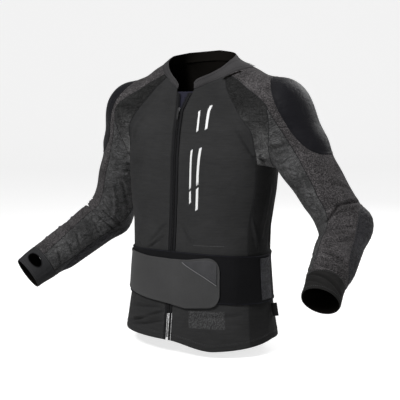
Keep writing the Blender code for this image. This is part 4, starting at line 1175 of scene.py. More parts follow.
def sleeve_edges(side):
    """The sleeve cap's edges and the rows of the arm under them, worked out once for each side."""
    if side in SLEEVES:
        return SLEEVES[side]
    lines = SEAMS[side]
    yoke = arm_grid(side, 1, 0, lane_steps(YOKE_COLS, True, True))
    front = arm_grid(side, 0, 2, HOLE)
    back = arm_grid(side, 1, 2, HOLE, turn=-360)
    share = np.linspace(0, RING_START, 5)[1:-1]

    def down_to(start, middle, end):
        """A settled line through three runs of points, its ends kept."""
        line = smooth_line(np.vstack([start, middle, end]), CAP)
        line[1:-1] = settle(line[1:-1])
        line[0], line[-1] = start, end
        return line

    armpit = lines["hole_front"][-1]
    edges = {
        "front": down_to(lines["hole_front"][0], on_arm(side, share, arm_angles(share, 0)), yoke[0, -1]),
        "back": down_to(lines["hole_back"][0], on_arm(side, share, arm_angles(share, 1)), yoke[0, 0]),
        "under": down_to(armpit, (armpit + front[0, -1]) / 2, front[0, -1]),
    }
    SLEEVES[side] = yoke, front, back, edges
    return SLEEVES[side]


class JERSEY_OT_setup(bpy.types.Operator):
    """Builds the node groups that the finishes share"""

    bl_idname = "jersey.setup"
    bl_label = "Shared effects"

    def execute(self, context):
        build_groups()
        return {"FINISHED"}


class JERSEY_OT_body(bpy.types.Operator):
    """Builds the chest, mesh inserts, side panels and back"""

    bl_idname = "jersey.body"
    bl_label = "Body panels"

    def execute(self, context):
        chest = knit_finish("chest_knit", colours().chest, marks=True)
        side_knit = knit_finish("side_knit", colours().side, pitch=0.0013, spread=0.2)
        # The insert is painted darker towards its top as shade and keeps its light colour low by the armpit
        # as a painted highlight
        insert_mesh = mesh_finish(
            "insert_mesh", colours().insert, (0.0075, 0.0075, 0.0075), painted_shade=(-0.075, -0.170, 0.12))
        for side in ARMS:
            sign, lines = ARMS[side]["sign"], SEAMS[side]
            edge = np.vstack([lines["chest"], lines["chest_low"][1:]])
            middle = centre_line(side, ZIP_HALF + TAPE_WIDTH + 0.0012, NECK_FRONT, BODY_ROWS)
            middle[-1, 2] = hem_height(middle[-1])
            angle = np.degrees(np.arctan2(abs(middle[0, 0]), -middle[0, 1]))
            cols = lane_steps(FRONT_COLS, True, True)
            top = neck_line(sign * angle, sign * CHEST_NECK[side], cols)
            top[0], top[-1] = middle[0], edge[0]
            bottom = hem_line(middle[-1], edge[-1], cols)
            front = patch(top, bottom, middle, edge, cols, BODY_ROWS)
            add_cloth(
                f"chest_{side}", seamed(front), sizes().cloth, chest, f"front_panel_{side}")

            edge = np.vstack([lines["raglan_front"], lines["hole_front"][1:]])
            cols = lane_steps(INSERT_COLS, True, True)
            top = neck_line(sign * CHEST_NECK[side], sign * YOKE_NECK[side], cols)
            top[0], top[-1] = lines["chest"][0], edge[0]
            bottom = smooth_line(lines["under"], cols)
            insert = patch(top, bottom, lines["chest"], edge, cols, UPPER_ROWS)
            add_cloth(
                f"insert_{side}", seamed(insert), sizes().mesh_cloth, insert_mesh,
                f"front_mesh_{side}")

            cols = lane_steps(SIDE_COLS, True, True)
            bottom = hem_line(lines["chest_low"][-1], lines["side_seam"][-1], cols)
            panel = patch(lines["under"], bottom, lines["chest_low"], lines["side_seam"], cols, SIDE)
            add_cloth(
                f"flank_{side}", seamed(panel), sizes().cloth, side_knit, f"side_panel_{side}")

        edges = []
        for side in ("right", "left"):
            lines = SEAMS[side]
            edges.append(np.vstack([lines["raglan_back"], lines["hole_back"][1:], lines["side_seam"][1:]]))
        cols = lane_steps(BACK_COLS, True, True)
        top = neck_line(-BACK_NECK, BACK_NECK - 360, cols)
        top[0], top[-1] = edges[0][0], edges[1][0]
        middle = settle(np.array([0, CHEST_DEPTH, -BODY_LENGTH]), free=(0, 1, 0))
        half = cols[cols <= 0.5] * 2
        first, second = hem_line(edges[0][-1], middle, half), hem_line(middle, edges[1][-1], 1 - half[::-1])
        bottom = np.vstack([first, second[1:]])
        bottom[0], bottom[-1] = edges[0][-1], edges[1][-1]
        back = patch(top, bottom, *edges, cols, BODY_ROWS)
        add_cloth("back", seamed(back), sizes().cloth, chest, "back_panel")
        return {"FINISHED"}


class JERSEY_OT_sleeves(bpy.types.Operator):
    """Builds the yokes and the sleeve cloths"""

    bl_idname = "jersey.sleeves"
    bl_label = "Yokes and sleeves"

    def execute(self, context):
        heather = heather_finish()
        front_mesh = mesh_finish("sleeve_mesh", colours().sleeve, (0.0120, 0.0120, 0.0120))
        back_mesh = mesh_finish("sleeve_back_mesh", colours().sleeve_back, (0.0100, 0.0100, 0.0105))
        for side in ARMS:
            sign, lines = ARMS[side]["sign"], SEAMS[side]
            yoke, front, back, edges = sleeve_edges(side)
            cols = lane_steps(YOKE_COLS, True, True)
            neck = neck_line(sign * BACK_NECK, sign * YOKE_NECK[side], cols)
            start = np.vstack([lines["raglan_back"], edges["back"][1:]])
            end = np.vstack([lines["raglan_front"], edges["front"][1:]])
            neck[0], neck[-1] = start[0], end[0]
            cap = patch(neck, yoke[0], start, end, cols, YOKE_ROWS)
            whole = np.vstack([cap, yoke[1:]])
            add_cloth(
                f"shoulder_yoke_{side}", seamed(whole), sizes().cloth, heather,
                f"yoke_{side}")
            for place, grid, hole, edge, cloth in (
                ("front", front, lines["hole_front"], edges["front"], front_mesh),
                ("back", back, lines["hole_back"], edges["back"], back_mesh),
            ):
                cap = patch(hole, grid[0], edge, edges["under"], HOLE, CAP)
                whole = np.vstack([cap, grid[1:]])
                add_cloth(
                    f"sleeve_cloth_{place}_{side}", seamed(whole), sizes().mesh_cloth, cloth,
                    f"sleeve_{place}_{side}")
        return {"FINISHED"}


class JERSEY_OT_cuffs(bpy.types.Operator):
    """Builds both cuffs, the right one with its bound thumb hole"""

    bl_idname = "jersey.cuffs"
    bl_label = "Cuffs"

    HOLE = (0.950, 122.0, 0.0230, 0.0135)  # share, angle, half width round the arm and half height along it

    def execute(self, context):
        for side in ARMS:
            tone = colours().cuff_left if side == "left" else colours().cuff
            cloth = knit_finish(f"cuff_knit_{side}", tone, pitch=0.0014, spread=0.12, sheen=0.04, stripe=0.04)
            share = CUFF_START + 0.0004 + (0.9996 - CUFF_START) * lane_steps(24, True, True)[:, None]
            angle = np.linspace(0, 360, 132, endpoint=False)[None]
            grid = on_arm(side, share, angle)
            hem = np.abs(edge_distance(grid, True))
            grid = dressed(grid, -SEAM_DIP * np.exp(-((hem / SEAM_DIP_WIDTH) ** 2)))
            made = add_cloth(
                f"cuff_cloth_{side}", grid, sizes().cloth, cloth, f"cuff_{side}", closed=True)
            if side == "right":
                self.cut_thumb_hole(made, grid, share, angle)
        return {"FINISHED"}

    def cut_thumb_hole(self, made, grid, share, angle):
        """Takes out the faces inside an ellipse and moves the edge that is left onto it."""
        at, turn, wide, high = self.HOLE
        arm = ARMS["right"]
        long = arm_spans(arm)[3].sum()
        across = np.radians((angle - turn + 180) % 360 - 180) * arm["wrist_r"] / wide + 0 * share
        along = (share - at) * long / high + 0 * angle
        reach = np.hypot(across, along)
        quads = np.array([face.vertices[:] for face in made.data.polygons])
        inside = reach.ravel()[quads].mean(axis=1) < 1
        rim = np.intersect1d(np.unique(quads[inside]), np.unique(quads[~inside]))
        scale = 1 / reach.ravel()[rim]
        new_share = at + along.ravel()[rim] * scale * high / long
        new_angle = turn + np.degrees(across.ravel()[rim] * scale * wide / arm["wrist_r"])
        points = grid.reshape(-1, 3).copy()
        points[rim] = dressed(on_arm("right", new_share, new_angle))
        made.data.vertices.foreach_set("co", points.astype(np.float32).ravel())
        shell = bmesh.new()
        shell.from_mesh(made.data)
        shell.faces.ensure_lookup_table()
        bmesh.ops.delete(shell, geom=[shell.faces[i] for i in np.flatnonzero(inside)], context="FACES")
        shell.to_mesh(made.data)
        shell.free()
        around = np.linspace(0, 2 * np.pi, 61)
        share = at + np.sin(around) * high / long
        angle = turn + np.degrees(np.cos(around) * wide / arm["wrist_r"])
        line = dressed(on_arm("right", share, angle), 0.0002)
        binding = knit_finish("thumb_binding", (0.012, 0.012, 0.013), pitch=0.0012)
        add_cord("thumb_hole_binding", line, 0.0011, binding)


class JERSEY_OT_pads(bpy.types.Operator):
    """Builds the shoulder and elbow pads"""

    bl_idname = "jersey.pads"
    bl_label = "Pads"

    def execute(self, context):
        shoulder = knit_finish(
            "shoulder_pad_cloth", colours().shoulder, pitch=0.0009, roughness=0.55, sheen=0.08, spread=0.1,
            stripe=0.03)
        elbow = mesh_finish("elbow_pad_cloth", colours().elbow, (0.0150, 0.0150, 0.0160), pitch=0.0026)
        for (kind, side), (centre, turn, half, width, power) in PADS.items():
            lanes = 2 * lane_steps(56, True, True) - 1
            across, along = np.meshgrid(lanes, lanes)
            square = np.maximum(np.abs(across), np.abs(along))
            radius = (np.abs(across) ** power + np.abs(along) ** power) ** (1 / power)
            scale = np.where(radius > 0, square / np.maximum(radius, 1e-9), 1)
            share, angle = centre + half * along * scale, turn + width * across * scale
            base = on_arm(side, share, angle)
            off = edge_distance(base)
            border = sizes().pad_border
            crown = np.sin(np.pi / 2 * np.clip((off - border) / 0.036, 0, 1)) ** 1.15
            height = 0.0009 * np.clip(off / 0.0012, 0, 1) ** 0.5 + sizes().pad * crown
            height -= 0.0006 * np.exp(-(((off - border) / 0.0013) ** 2))
            if kind == "elbow":
                ribs = np.sin(along * scale * 34) ** 2
                height += 0.0006 * ribs * ease((off - 0.012) / 0.008)
            way = outward(base)
            outer, inner = base + way * (0.0004 + height)[..., None], base + way * 0.0001
            count = lanes.size
            quads = grid_quads(count, count)
            total = count * count
            ring = np.concatenate([
                np.arange(count), np.arange(2 * count - 1, total, count),
                np.arange(total - 2, total - count - 1, -1), np.arange(total - 2 * count, 0, -count)])
            after = np.roll(ring, -1)
            walls = np.stack([ring, after, after + total, ring + total], axis=-1)
            faces = np.concatenate([quads, quads[:, ::-1] + total, walls])
            points = np.concatenate([outer.reshape(-1, 3), inner.reshape(-1, 3)])
            places = grid_map(base)
            places = np.concatenate([places, places[:, ::-1], np.zeros((len(walls), 4, 2))])
            turned = outwards(points, faces)
            if (turned[0] != faces[0]).any():
                faces, places = turned, places[:, ::-1]
            cloth = shoulder if kind == "shoulder" else elbow
            made = add_mesh(f"{kind}_armour_{side}", points, faces, cloth, places)
            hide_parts(f"{kind}_pad_{side}")
        return {"FINISHED"}


class JERSEY_OT_collar(bpy.types.Operator):
    """Builds the stand collar, its piping and the placket behind the open zip"""

    bl_idname = "jersey.collar"
    bl_label = "Collar"

    def execute(self, context):
        cloth = self.collar_cloth()
        lanes = lane_steps(170, True, True)
        first, last = 19, 351
        angle = first + (last - first) * lanes
        low = neck_line(first, last, lanes)
        around = np.radians(angle)
        from_end = np.clip(np.minimum(angle - first, last - angle) / 9, 0, 1)
        level = RIM_HALF * np.stack([np.sin(around), -np.cos(around)], axis=-1)
        rim = np.column_stack([level, neck_rise(angle, 2)])
        rim = low + (rim - low) * (1 - 0.30 * (1 - from_end) ** 2)[:, None]
        low, rim = low + (0, 0, 0.0006), rim + (0, 0, 0.0025)
        up = unit(rim - low)
        along = unit(np.gradient(low, axis=0))
        out = unit(np.cross(along, up))
        tall = np.linalg.norm(rim - low, axis=-1)
        thick = sizes().collar
        # Profile: up the outside with a slight swell, over a round top, down the inside
        # and on below the seam as a thin facing
        rise = np.concatenate([np.linspace(0, 1, 13), np.ones(5), np.linspace(1, -0.16, 11), (-0.16, 0)])
        side = np.concatenate([np.zeros(13), np.linspace(0.12, 0.88, 5), np.ones(11), (0.84, 0.84)])
        hump = np.concatenate([np.zeros(13), np.sin(np.pi * np.linspace(0.12, 0.88, 5)), np.zeros(13)])
        swell = np.concatenate([np.sin(np.pi * np.linspace(0, 1, 13)), np.zeros(5), np.zeros(13)])
        groove = np.zeros(31)
        groove[9], groove[10] = -1.0, -0.3
        reach = 1 - 0.999 * np.clip(1 - np.minimum(lanes, 1 - lanes) * 560, 0, 1) ** 2
        body = (rise[None] * (tall - thick / 2)[:, None] + hump[None] * thick / 2)[..., None] * up[:, None]
        over = (-side[None] * thick + thick * 0.5 * swell[None] * 0.5 + groove[None] * 0.0004)[..., None]
        reach = reach[:, None, None]
        grid = low[:, None] + body + (over * reach - (1 - reach) * thick / 2) * out[:, None]
        made = add_mesh("stand_collar", grid, outwards(grid, capped(*grid.shape[:2])), [cloth, painted_inner_shade()])
        # The inside and the top of the wall carry the painted inner shade
        sides = np.array([face.vertices[:] for face in made.data.polygons]) % grid.shape[1]
        made.data.polygons.foreach_set("material_index", (sides.min(axis=1) >= 14).astype(np.int32))
        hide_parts("collar")
        thread = thread_finish("thread_dark", colours().thread)
        for share, name in ((0.70, "collar_stitches_high"), (0.16, "collar_stitches_low")):
            line = low + (rim - low) * share + out * (thick * 0.25 * np.sin(np.pi * share) + 0.0002)
            self.collar_stitches(name, line, out, thread)
        cord = thread_finish("piping_cord", colours().piping, 0.45)
        for side in ARMS:
            sign = ARMS[side]["sign"]
            line = neck_line(sign * PIPING_START[side], sign * (BACK_NECK - 2), np.linspace(0, 1, 60))
            way = outward(line)
            flat = unit(way * (1, 1, 0))
            add_cord(f"neck_piping_{side}", line + way * 0.0016 + flat * 0.0013, 0.0011, cord,
                     f"piping_{side}")
        level = np.linspace(0, 1, 26)
        rows = []
        for across in np.linspace(-0.016, 0.028, 18):
            z = NECK_FRONT - 0.002 + (V_BOTTOM - 0.030 - NECK_FRONT + 0.002) * level
            line = np.stack([np.full(z.shape, across), np.full(z.shape, -CHEST_DEPTH), z], axis=-1)
            rows.append(settle(line, -0.0032 + 0.0004 * np.sin(across * 500), free=(0, 1, 0), rounds=10))
        placket = knit_finish("placket_knit", (0.020, 0.020, 0.032), pitch=0.0012)
        add_cloth("neck_placket", np.stack(rows, axis=1), 0.0012, placket, "inner_placket")
        return {"FINISHED"}

    def collar_stitches(self, name, line, out, thread):
        """One row of stitches on the collar's outer side."""
        way = run_along(line)
        at = np.arange(0.006, way[-1] - 0.006, 0.0044)
        centre, ahead = read_at(at, way, line), read_at(at + 0.001, way, line)
        tangent, facing = unit(ahead - centre), unit(read_at(at, way, out))
        points, faces = spindles(centre, tangent, facing, sizes().stitch, 0.00036)
        add_mesh(name, points, faces, thread)

    def collar_cloth(self):
        """Collar cloth: grey, with slow changes of tone and a fine grain."""
        made, tree, shader, _, place = finish("collar_cloth", 0.85, 0.05, specular=0.10)
        tone = worn(tree, place, colours().collar, 0.12, 16.0)
        grain = node(tree, "TexNoise", Vector=place, Scale=900.0, Detail=2.0, Roughness=0.7)
        level = node(tree, "MapRange", Value=grain.outputs[0], i1=0.3, i2=0.7, i3=0.82, i4=1.18)
        paint(tree, shader, tone, level.outputs[0])
        bump(tree, shader, grain.outputs[0], 0.35, 0.0003)
        return made


class JERSEY_OT_zip(bpy.types.Operator):
    """Builds the zip's tapes, teeth, slider and pull"""

    bl_idname = "jersey.zip"
    bl_label = "Zip"

    def execute(self, context):
        tape = elastic_finish("zip_tape_weave", (0.0120, 0.0120, 0.0130), pitch=0.0018)
        plastic = moulded_finish("zip_tooth_plastic", (0.010, 0.010, 0.011), 0.55)
        rows = lane_steps(170, True, True)
        for side in ARMS:
            edges = [ZIP_HALF + 0.0006 + TAPE_WIDTH * share for share in (0, 0.06, 0.3, 0.6, 0.85, 0.94, 1.0)]
            lift = [0.0000, 0.0004, 0.0002, 0.0002, 0.0004, 0.0006, 0.0002]
            lines = [
                centre_line(side, edge, NECK_FRONT - 0.004, rows, rise) for edge, rise in zip(edges, lift)]
            add_cloth(
                f"tape_{side}", np.stack(lines, axis=1), sizes().cloth, tape, f"zip_tape_{side}")
        self.add_teeth(plastic)
        self.add_slider()
        return {"FINISHED"}

    def add_teeth(self, plastic):
        """Teeth as small tapered blocks in step along both tapes, the two sides half a pitch apart."""
        pitch = sizes().tooth
        groups = []
        for side, phase in (("left", 0.0), ("right", 0.5)):
            sign = ARMS[side]["sign"]
            level = np.arange(NECK_FRONT - 0.006 - phase * pitch, -BODY_LENGTH + 0.006, -pitch)
            apart = V_OPEN[side] * np.clip((level - V_BOTTOM) / (NECK_FRONT - V_BOTTOM), 0, 1)
            across = sign * (ZIP_HALF + 0.0010 + apart)
            root = np.stack([across, np.full(level.shape, -CHEST_DEPTH), level], -1)
            root = settle(root, 0.0006, free=(0, 1, 0), rounds=10)
            way = outward(root)
            nose = np.zeros_like(root)
            nose[:, 0] = -sign
            up = unit(np.cross(way, nose)) * sign
            # along the nose, up and out, in shares of 4.2, 1.5 and 2 mm
            shape = np.array([
                (0.0, -0.5, -0.5), (0.0, 0.5, -0.5), (0.0, 0.5, 0.5), (0.0, -0.5, 0.5),
                (0.62, -0.36, -0.5), (0.62, 0.36, -0.5), (0.62, 0.36, 0.5), (0.62, -0.36, 0.5),
                (1.0, -0.56, -0.36), (1.0, 0.56, -0.36), (1.0, 0.56, 0.36), (1.0, -0.56, 0.36),
            ]) * (0.0042, 0.0015, 0.0020)
            groups.append(
                root[:, None] + shape[None, :, :1] * nose[:, None] + shape[None, :, 1:2] * up[:, None]
                + shape[None, :, 2:] * way[:, None])
        points = np.concatenate(groups)
        one = outwards(points[0], np.array([
            (0, 1, 2, 3), (8, 11, 10, 9), *[(a, a + 4, (a + 1) % 4 + 4, (a + 1) % 4) for a in range(4)],
            *[(a + 4, a + 8, (a + 1) % 4 + 8, (a + 1) % 4 + 4) for a in range(4)]]))
        other = outwards(points[-1], one)
        faces = np.concatenate([
            (one if k < len(groups[0]) else other) + 12 * k for k in range(len(points))])
        made = add_mesh("teeth", points, faces, plastic)
        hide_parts("zip_teeth")

    def add_slider(self):
        """The slider's two plates and bridge, and the pull that hangs from it."""
        metal = moulded_finish("slider_metal", (0.060, 0.060, 0.063), 0.32, metallic=0.6)
        centre = settle(np.array([0, -CHEST_DEPTH, V_BOTTOM + 0.002]), free=(0, 1, 0), rounds=12)
        way = outward(centre)
        axes = np.stack([(1.0, 0, 0), unit(np.cross(way, (1.0, 0, 0))), way])
        axes[1] *= np.sign(axes[1, 2])
        plates = [
            lozenge(centre + way * 0.0032, axes, (0.0074, 0.0104, 0.0013), 4.0),
            lozenge(centre + way * 0.0010, axes, (0.0070, 0.0100, 0.0011), 4.0),
            lozenge(centre + way * 0.0021 + axes[1] * 0.0030, axes, (0.0026, 0.0030, 0.0030), 4.0),
            lozenge(centre + way * 0.0044 + axes[1] * 0.0004, axes, (0.0018, 0.0062, 0.0014), 3.0),
        ]
        add_solid("slider", plates, metal, "zip_slider")
        down = unit(np.cross(np.cross(way, (0, 0, -1)), way))
        axes = np.stack([(1.0, 0, 0), -down, way])
        rubber = moulded_finish("pull_rubber", (0.020, 0.020, 0.021), 0.5)
        pull = [
            lozenge(centre + way * 0.0055 + down * 0.0130, axes, (0.0056, 0.0220, 0.0016), 5.0),
            lozenge(centre + way * 0.0060 + down * 0.0135, axes, (0.0040, 0.0150, 0.0016), 4.0),
            lozenge(centre + way * 0.0052 + down * 0.0020, axes, (0.0034, 0.0050, 0.0012), 2.6),
        ]
        add_solid("pull", pull, rubber, "zip_pull")


def belt_grid(angles, first, last, lanes, height):
    """Rows round the belt between two edges, given as shares of the body length before it sags."""
    share = np.asarray(lanes)[:, None]
    sag = BELT_SAG * np.sin(np.radians(angles)) ** 2
    return around_body(np.asarray(angles)[None], first * (1 - share) + last * share + sag, height)


def flap_middle(angles):
    """The flap's middle as a share of the body length."""
    below = np.interp(angles, FLAP[:, 0], FLAP[:, 1])
    return (BELT_TOP + BELT_BOTTOM) / 2 + below * (BELT_BOTTOM - BELT_TOP)


def flap_half(angles):
    """Half the flap's height as a share of the body length, less near its rounded end."""
    past = np.clip((angles - FLAP_ROUND) / (FLAP_END - FLAP_ROUND), 0, 1)
    half = (BELT_BOTTOM - BELT_TOP) / 2 * np.interp(angles, FLAP[:, 0], FLAP[:, 2])
    return half * (1 - 0.55 * (1 - np.sqrt(1 - past**2.6)))


class JERSEY_OT_belt(bpy.types.Operator):
    """Builds the belt band, its flap with the grip and edge cord, and the anchor strip"""

    bl_idname = "jersey.belt"
    bl_label = "Belt"

    def execute(self, context):
        size = sizes()
        webbing = elastic_finish("belt_webbing", colours().belt)
        binding = knit_finish("belt_binding", (0.014, 0.014, 0.019), pitch=0.0010, spread=0.05)
        angles = np.linspace(0, 360, 260, endpoint=False)
        lanes = lane_steps(34, True, True)
        outer = size.lift + size.band
        grid = belt_grid(angles, BELT_TOP, BELT_BOTTOM, lanes, outer)
        off = edge_distance(grid, True)
        wave = 0.00025 * np.sin(np.radians(angles) * 9)[None] + 0.0003 * np.sin(np.radians(angles) * 23)[None]
        bound = 0.0006 * (1 - ease((off - 0.0045) / 0.0012))
        way = outward(grid)
        grid = grid + way * (wave + bound - 0.0005 * np.exp(-((off / 0.0012) ** 2)))[..., None]
        add_cloth("band", grid, size.band, webbing, "belt_band", closed=True)
        for name, down in (("band_edge_top", BELT_TOP + 0.003), ("band_edge_bottom", BELT_BOTTOM - 0.003)):
            turn = np.linspace(0, 360, 261)
            line = belt_grid(turn, down, down, [0], outer + 0.0002)[0]
            add_cord(name, line, 0.0009, binding)

        outer += size.lift + size.flap
        straight = np.linspace(FLAP[0, 0], FLAP_ROUND, 110)
        rounded = FLAP_ROUND + (FLAP_END - FLAP_ROUND) * np.sin(np.linspace(0, np.pi / 2, 30))
        angles = np.concatenate([straight, rounded[1:]])
        lanes = lane_steps(42, True, True)
        middle, half = flap_middle(angles), flap_half(angles)
        grid = belt_grid(angles, middle - half, middle + half, lanes, outer)
        off = edge_distance(grid)
        bound = 0.0007 * (1 - ease((off - 0.0040) / 0.0012)) - 0.0006 * np.exp(-((off / 0.0010) ** 2))
        seam = -0.0007 * np.exp(-(((angles[None] - 0.5) / 0.45) ** 2))
        bow = 0.0005 * np.sin(np.radians(angles) * 6)[None] * np.sin(np.pi * lanes)[:, None]
        grid = grid + outward(grid) * (bound + seam + bow)[..., None]
        felt = self.flap_cloth()
        add_cloth("flap", grid, size.flap, felt, "belt_flap")

        angles = np.linspace(GRIP_START, FLAP_END - 2, 90)
        middle, upper = flap_middle(angles), 0.007 - flap_half(angles)
        lower = np.maximum(np.interp(angles, [GRIP_START, FLAP_END], [-0.080, 0.016]), upper + 0.004)
        lanes = lane_steps(44, True, True)
        base = outer + 0.7 * size.lift + 0.0009
        grid = belt_grid(angles, middle + upper, middle + lower, lanes, base)
        turn = np.degrees(np.arctan2(grid[..., 0], -grid[..., 1]))
        pivot = (np.radians(49) * BODY_CHART, -(middle[-1] + 0.020) * BODY_LENGTH)
        dx, dz = np.radians(turn) * BODY_CHART - pivot[0], grid[..., 2] - pivot[1]
        fan, far = np.arctan2(dz, -dx), np.hypot(dx, dz)
        ribs = np.clip(np.sin(fan * 34), 0, 1) ** 0.7
        ribs = ribs * ease((far - 0.012) / 0.004) * ease((0.044 - far) / 0.008)
        off = edge_distance(grid)
        height = 0.0009 * ribs * ease(off / 0.002) - 0.0005 * np.exp(-((off / 0.0010) ** 2))
        rubber = self.grip_rubber()
        grip = grid + outward(grid) * height[..., None]
        add_cloth("grip", grip, 0.0009, rubber, "belt_grip")
        edge = belt_grid(angles, middle + lower, middle + lower, [0], base + 0.0006)[0]
        pale = thread_finish("grip_edge_cord", (0.20, 0.20, 0.205))
        add_cord("grip_edge", edge, 0.0008, pale)

        anchor = size.lift * 1.8 + size.band + 0.0012
        turn = ANCHOR[0] + (ANCHOR[1] - ANCHOR[0]) * lane_steps(16, True, True)
        grid = belt_grid(turn, BELT_TOP + 0.012, BELT_BOTTOM - 0.012, lane_steps(40, True, True), anchor)
        off = edge_distance(grid)
        grid = grid + outward(grid) * (-0.0006 * np.exp(-((off / 0.0012) ** 2)))[..., None]
        hook = mesh_finish("anchor_loops", (0.050, 0.050, 0.056), (0.020, 0.020, 0.024), pitch=0.0016)
        add_cloth("anchor_strip", grid, 0.0012, hook, "belt_anchor_left")
        return {"FINISHED"}

    def flap_cloth(self):
        """Brushed neoprene: soft sheen with short random fibres."""
        made, tree, shader, _, place = finish("flap_felt", 0.8, 0.10, specular=0.12, sheen_rough=0.5)
        stretch = node(tree, "Mapping", Vector=place, Scale=(500, 500, 1100))
        fibre = node(tree, "TexNoise", Vector=stretch.outputs[0], Scale=1.0, Detail=4.0, Roughness=0.7)
        tone = worn(tree, place, colours().flap, 0.12, 10.0)
        level = node(tree, "MapRange", Value=fibre.outputs[0], i1=0.3, i2=0.7, i3=0.82, i4=1.16)
        paint(tree, shader, tone, level.outputs[0])
        bump(tree, shader, fibre.outputs[0], 0.3, 0.0004)
        return made

    def grip_rubber(self):
        """Ribbed grip: dusty soft rubber."""
        made, tree, shader, _, place = finish("grip_rubber", 0.65, 0.05, specular=0.15)
        tone = worn(tree, place, (0.052, 0.052, 0.055), 0.2, 30.0)
        speck = node(tree, "TexNoise", Vector=place, Scale=1400.0, Detail=2.0, Roughness=0.6)
        tree.links.new(tone, shader.inputs["Base Color"])
        bump(tree, shader, speck.outputs[0], 0.3, 0.0003)
        return made


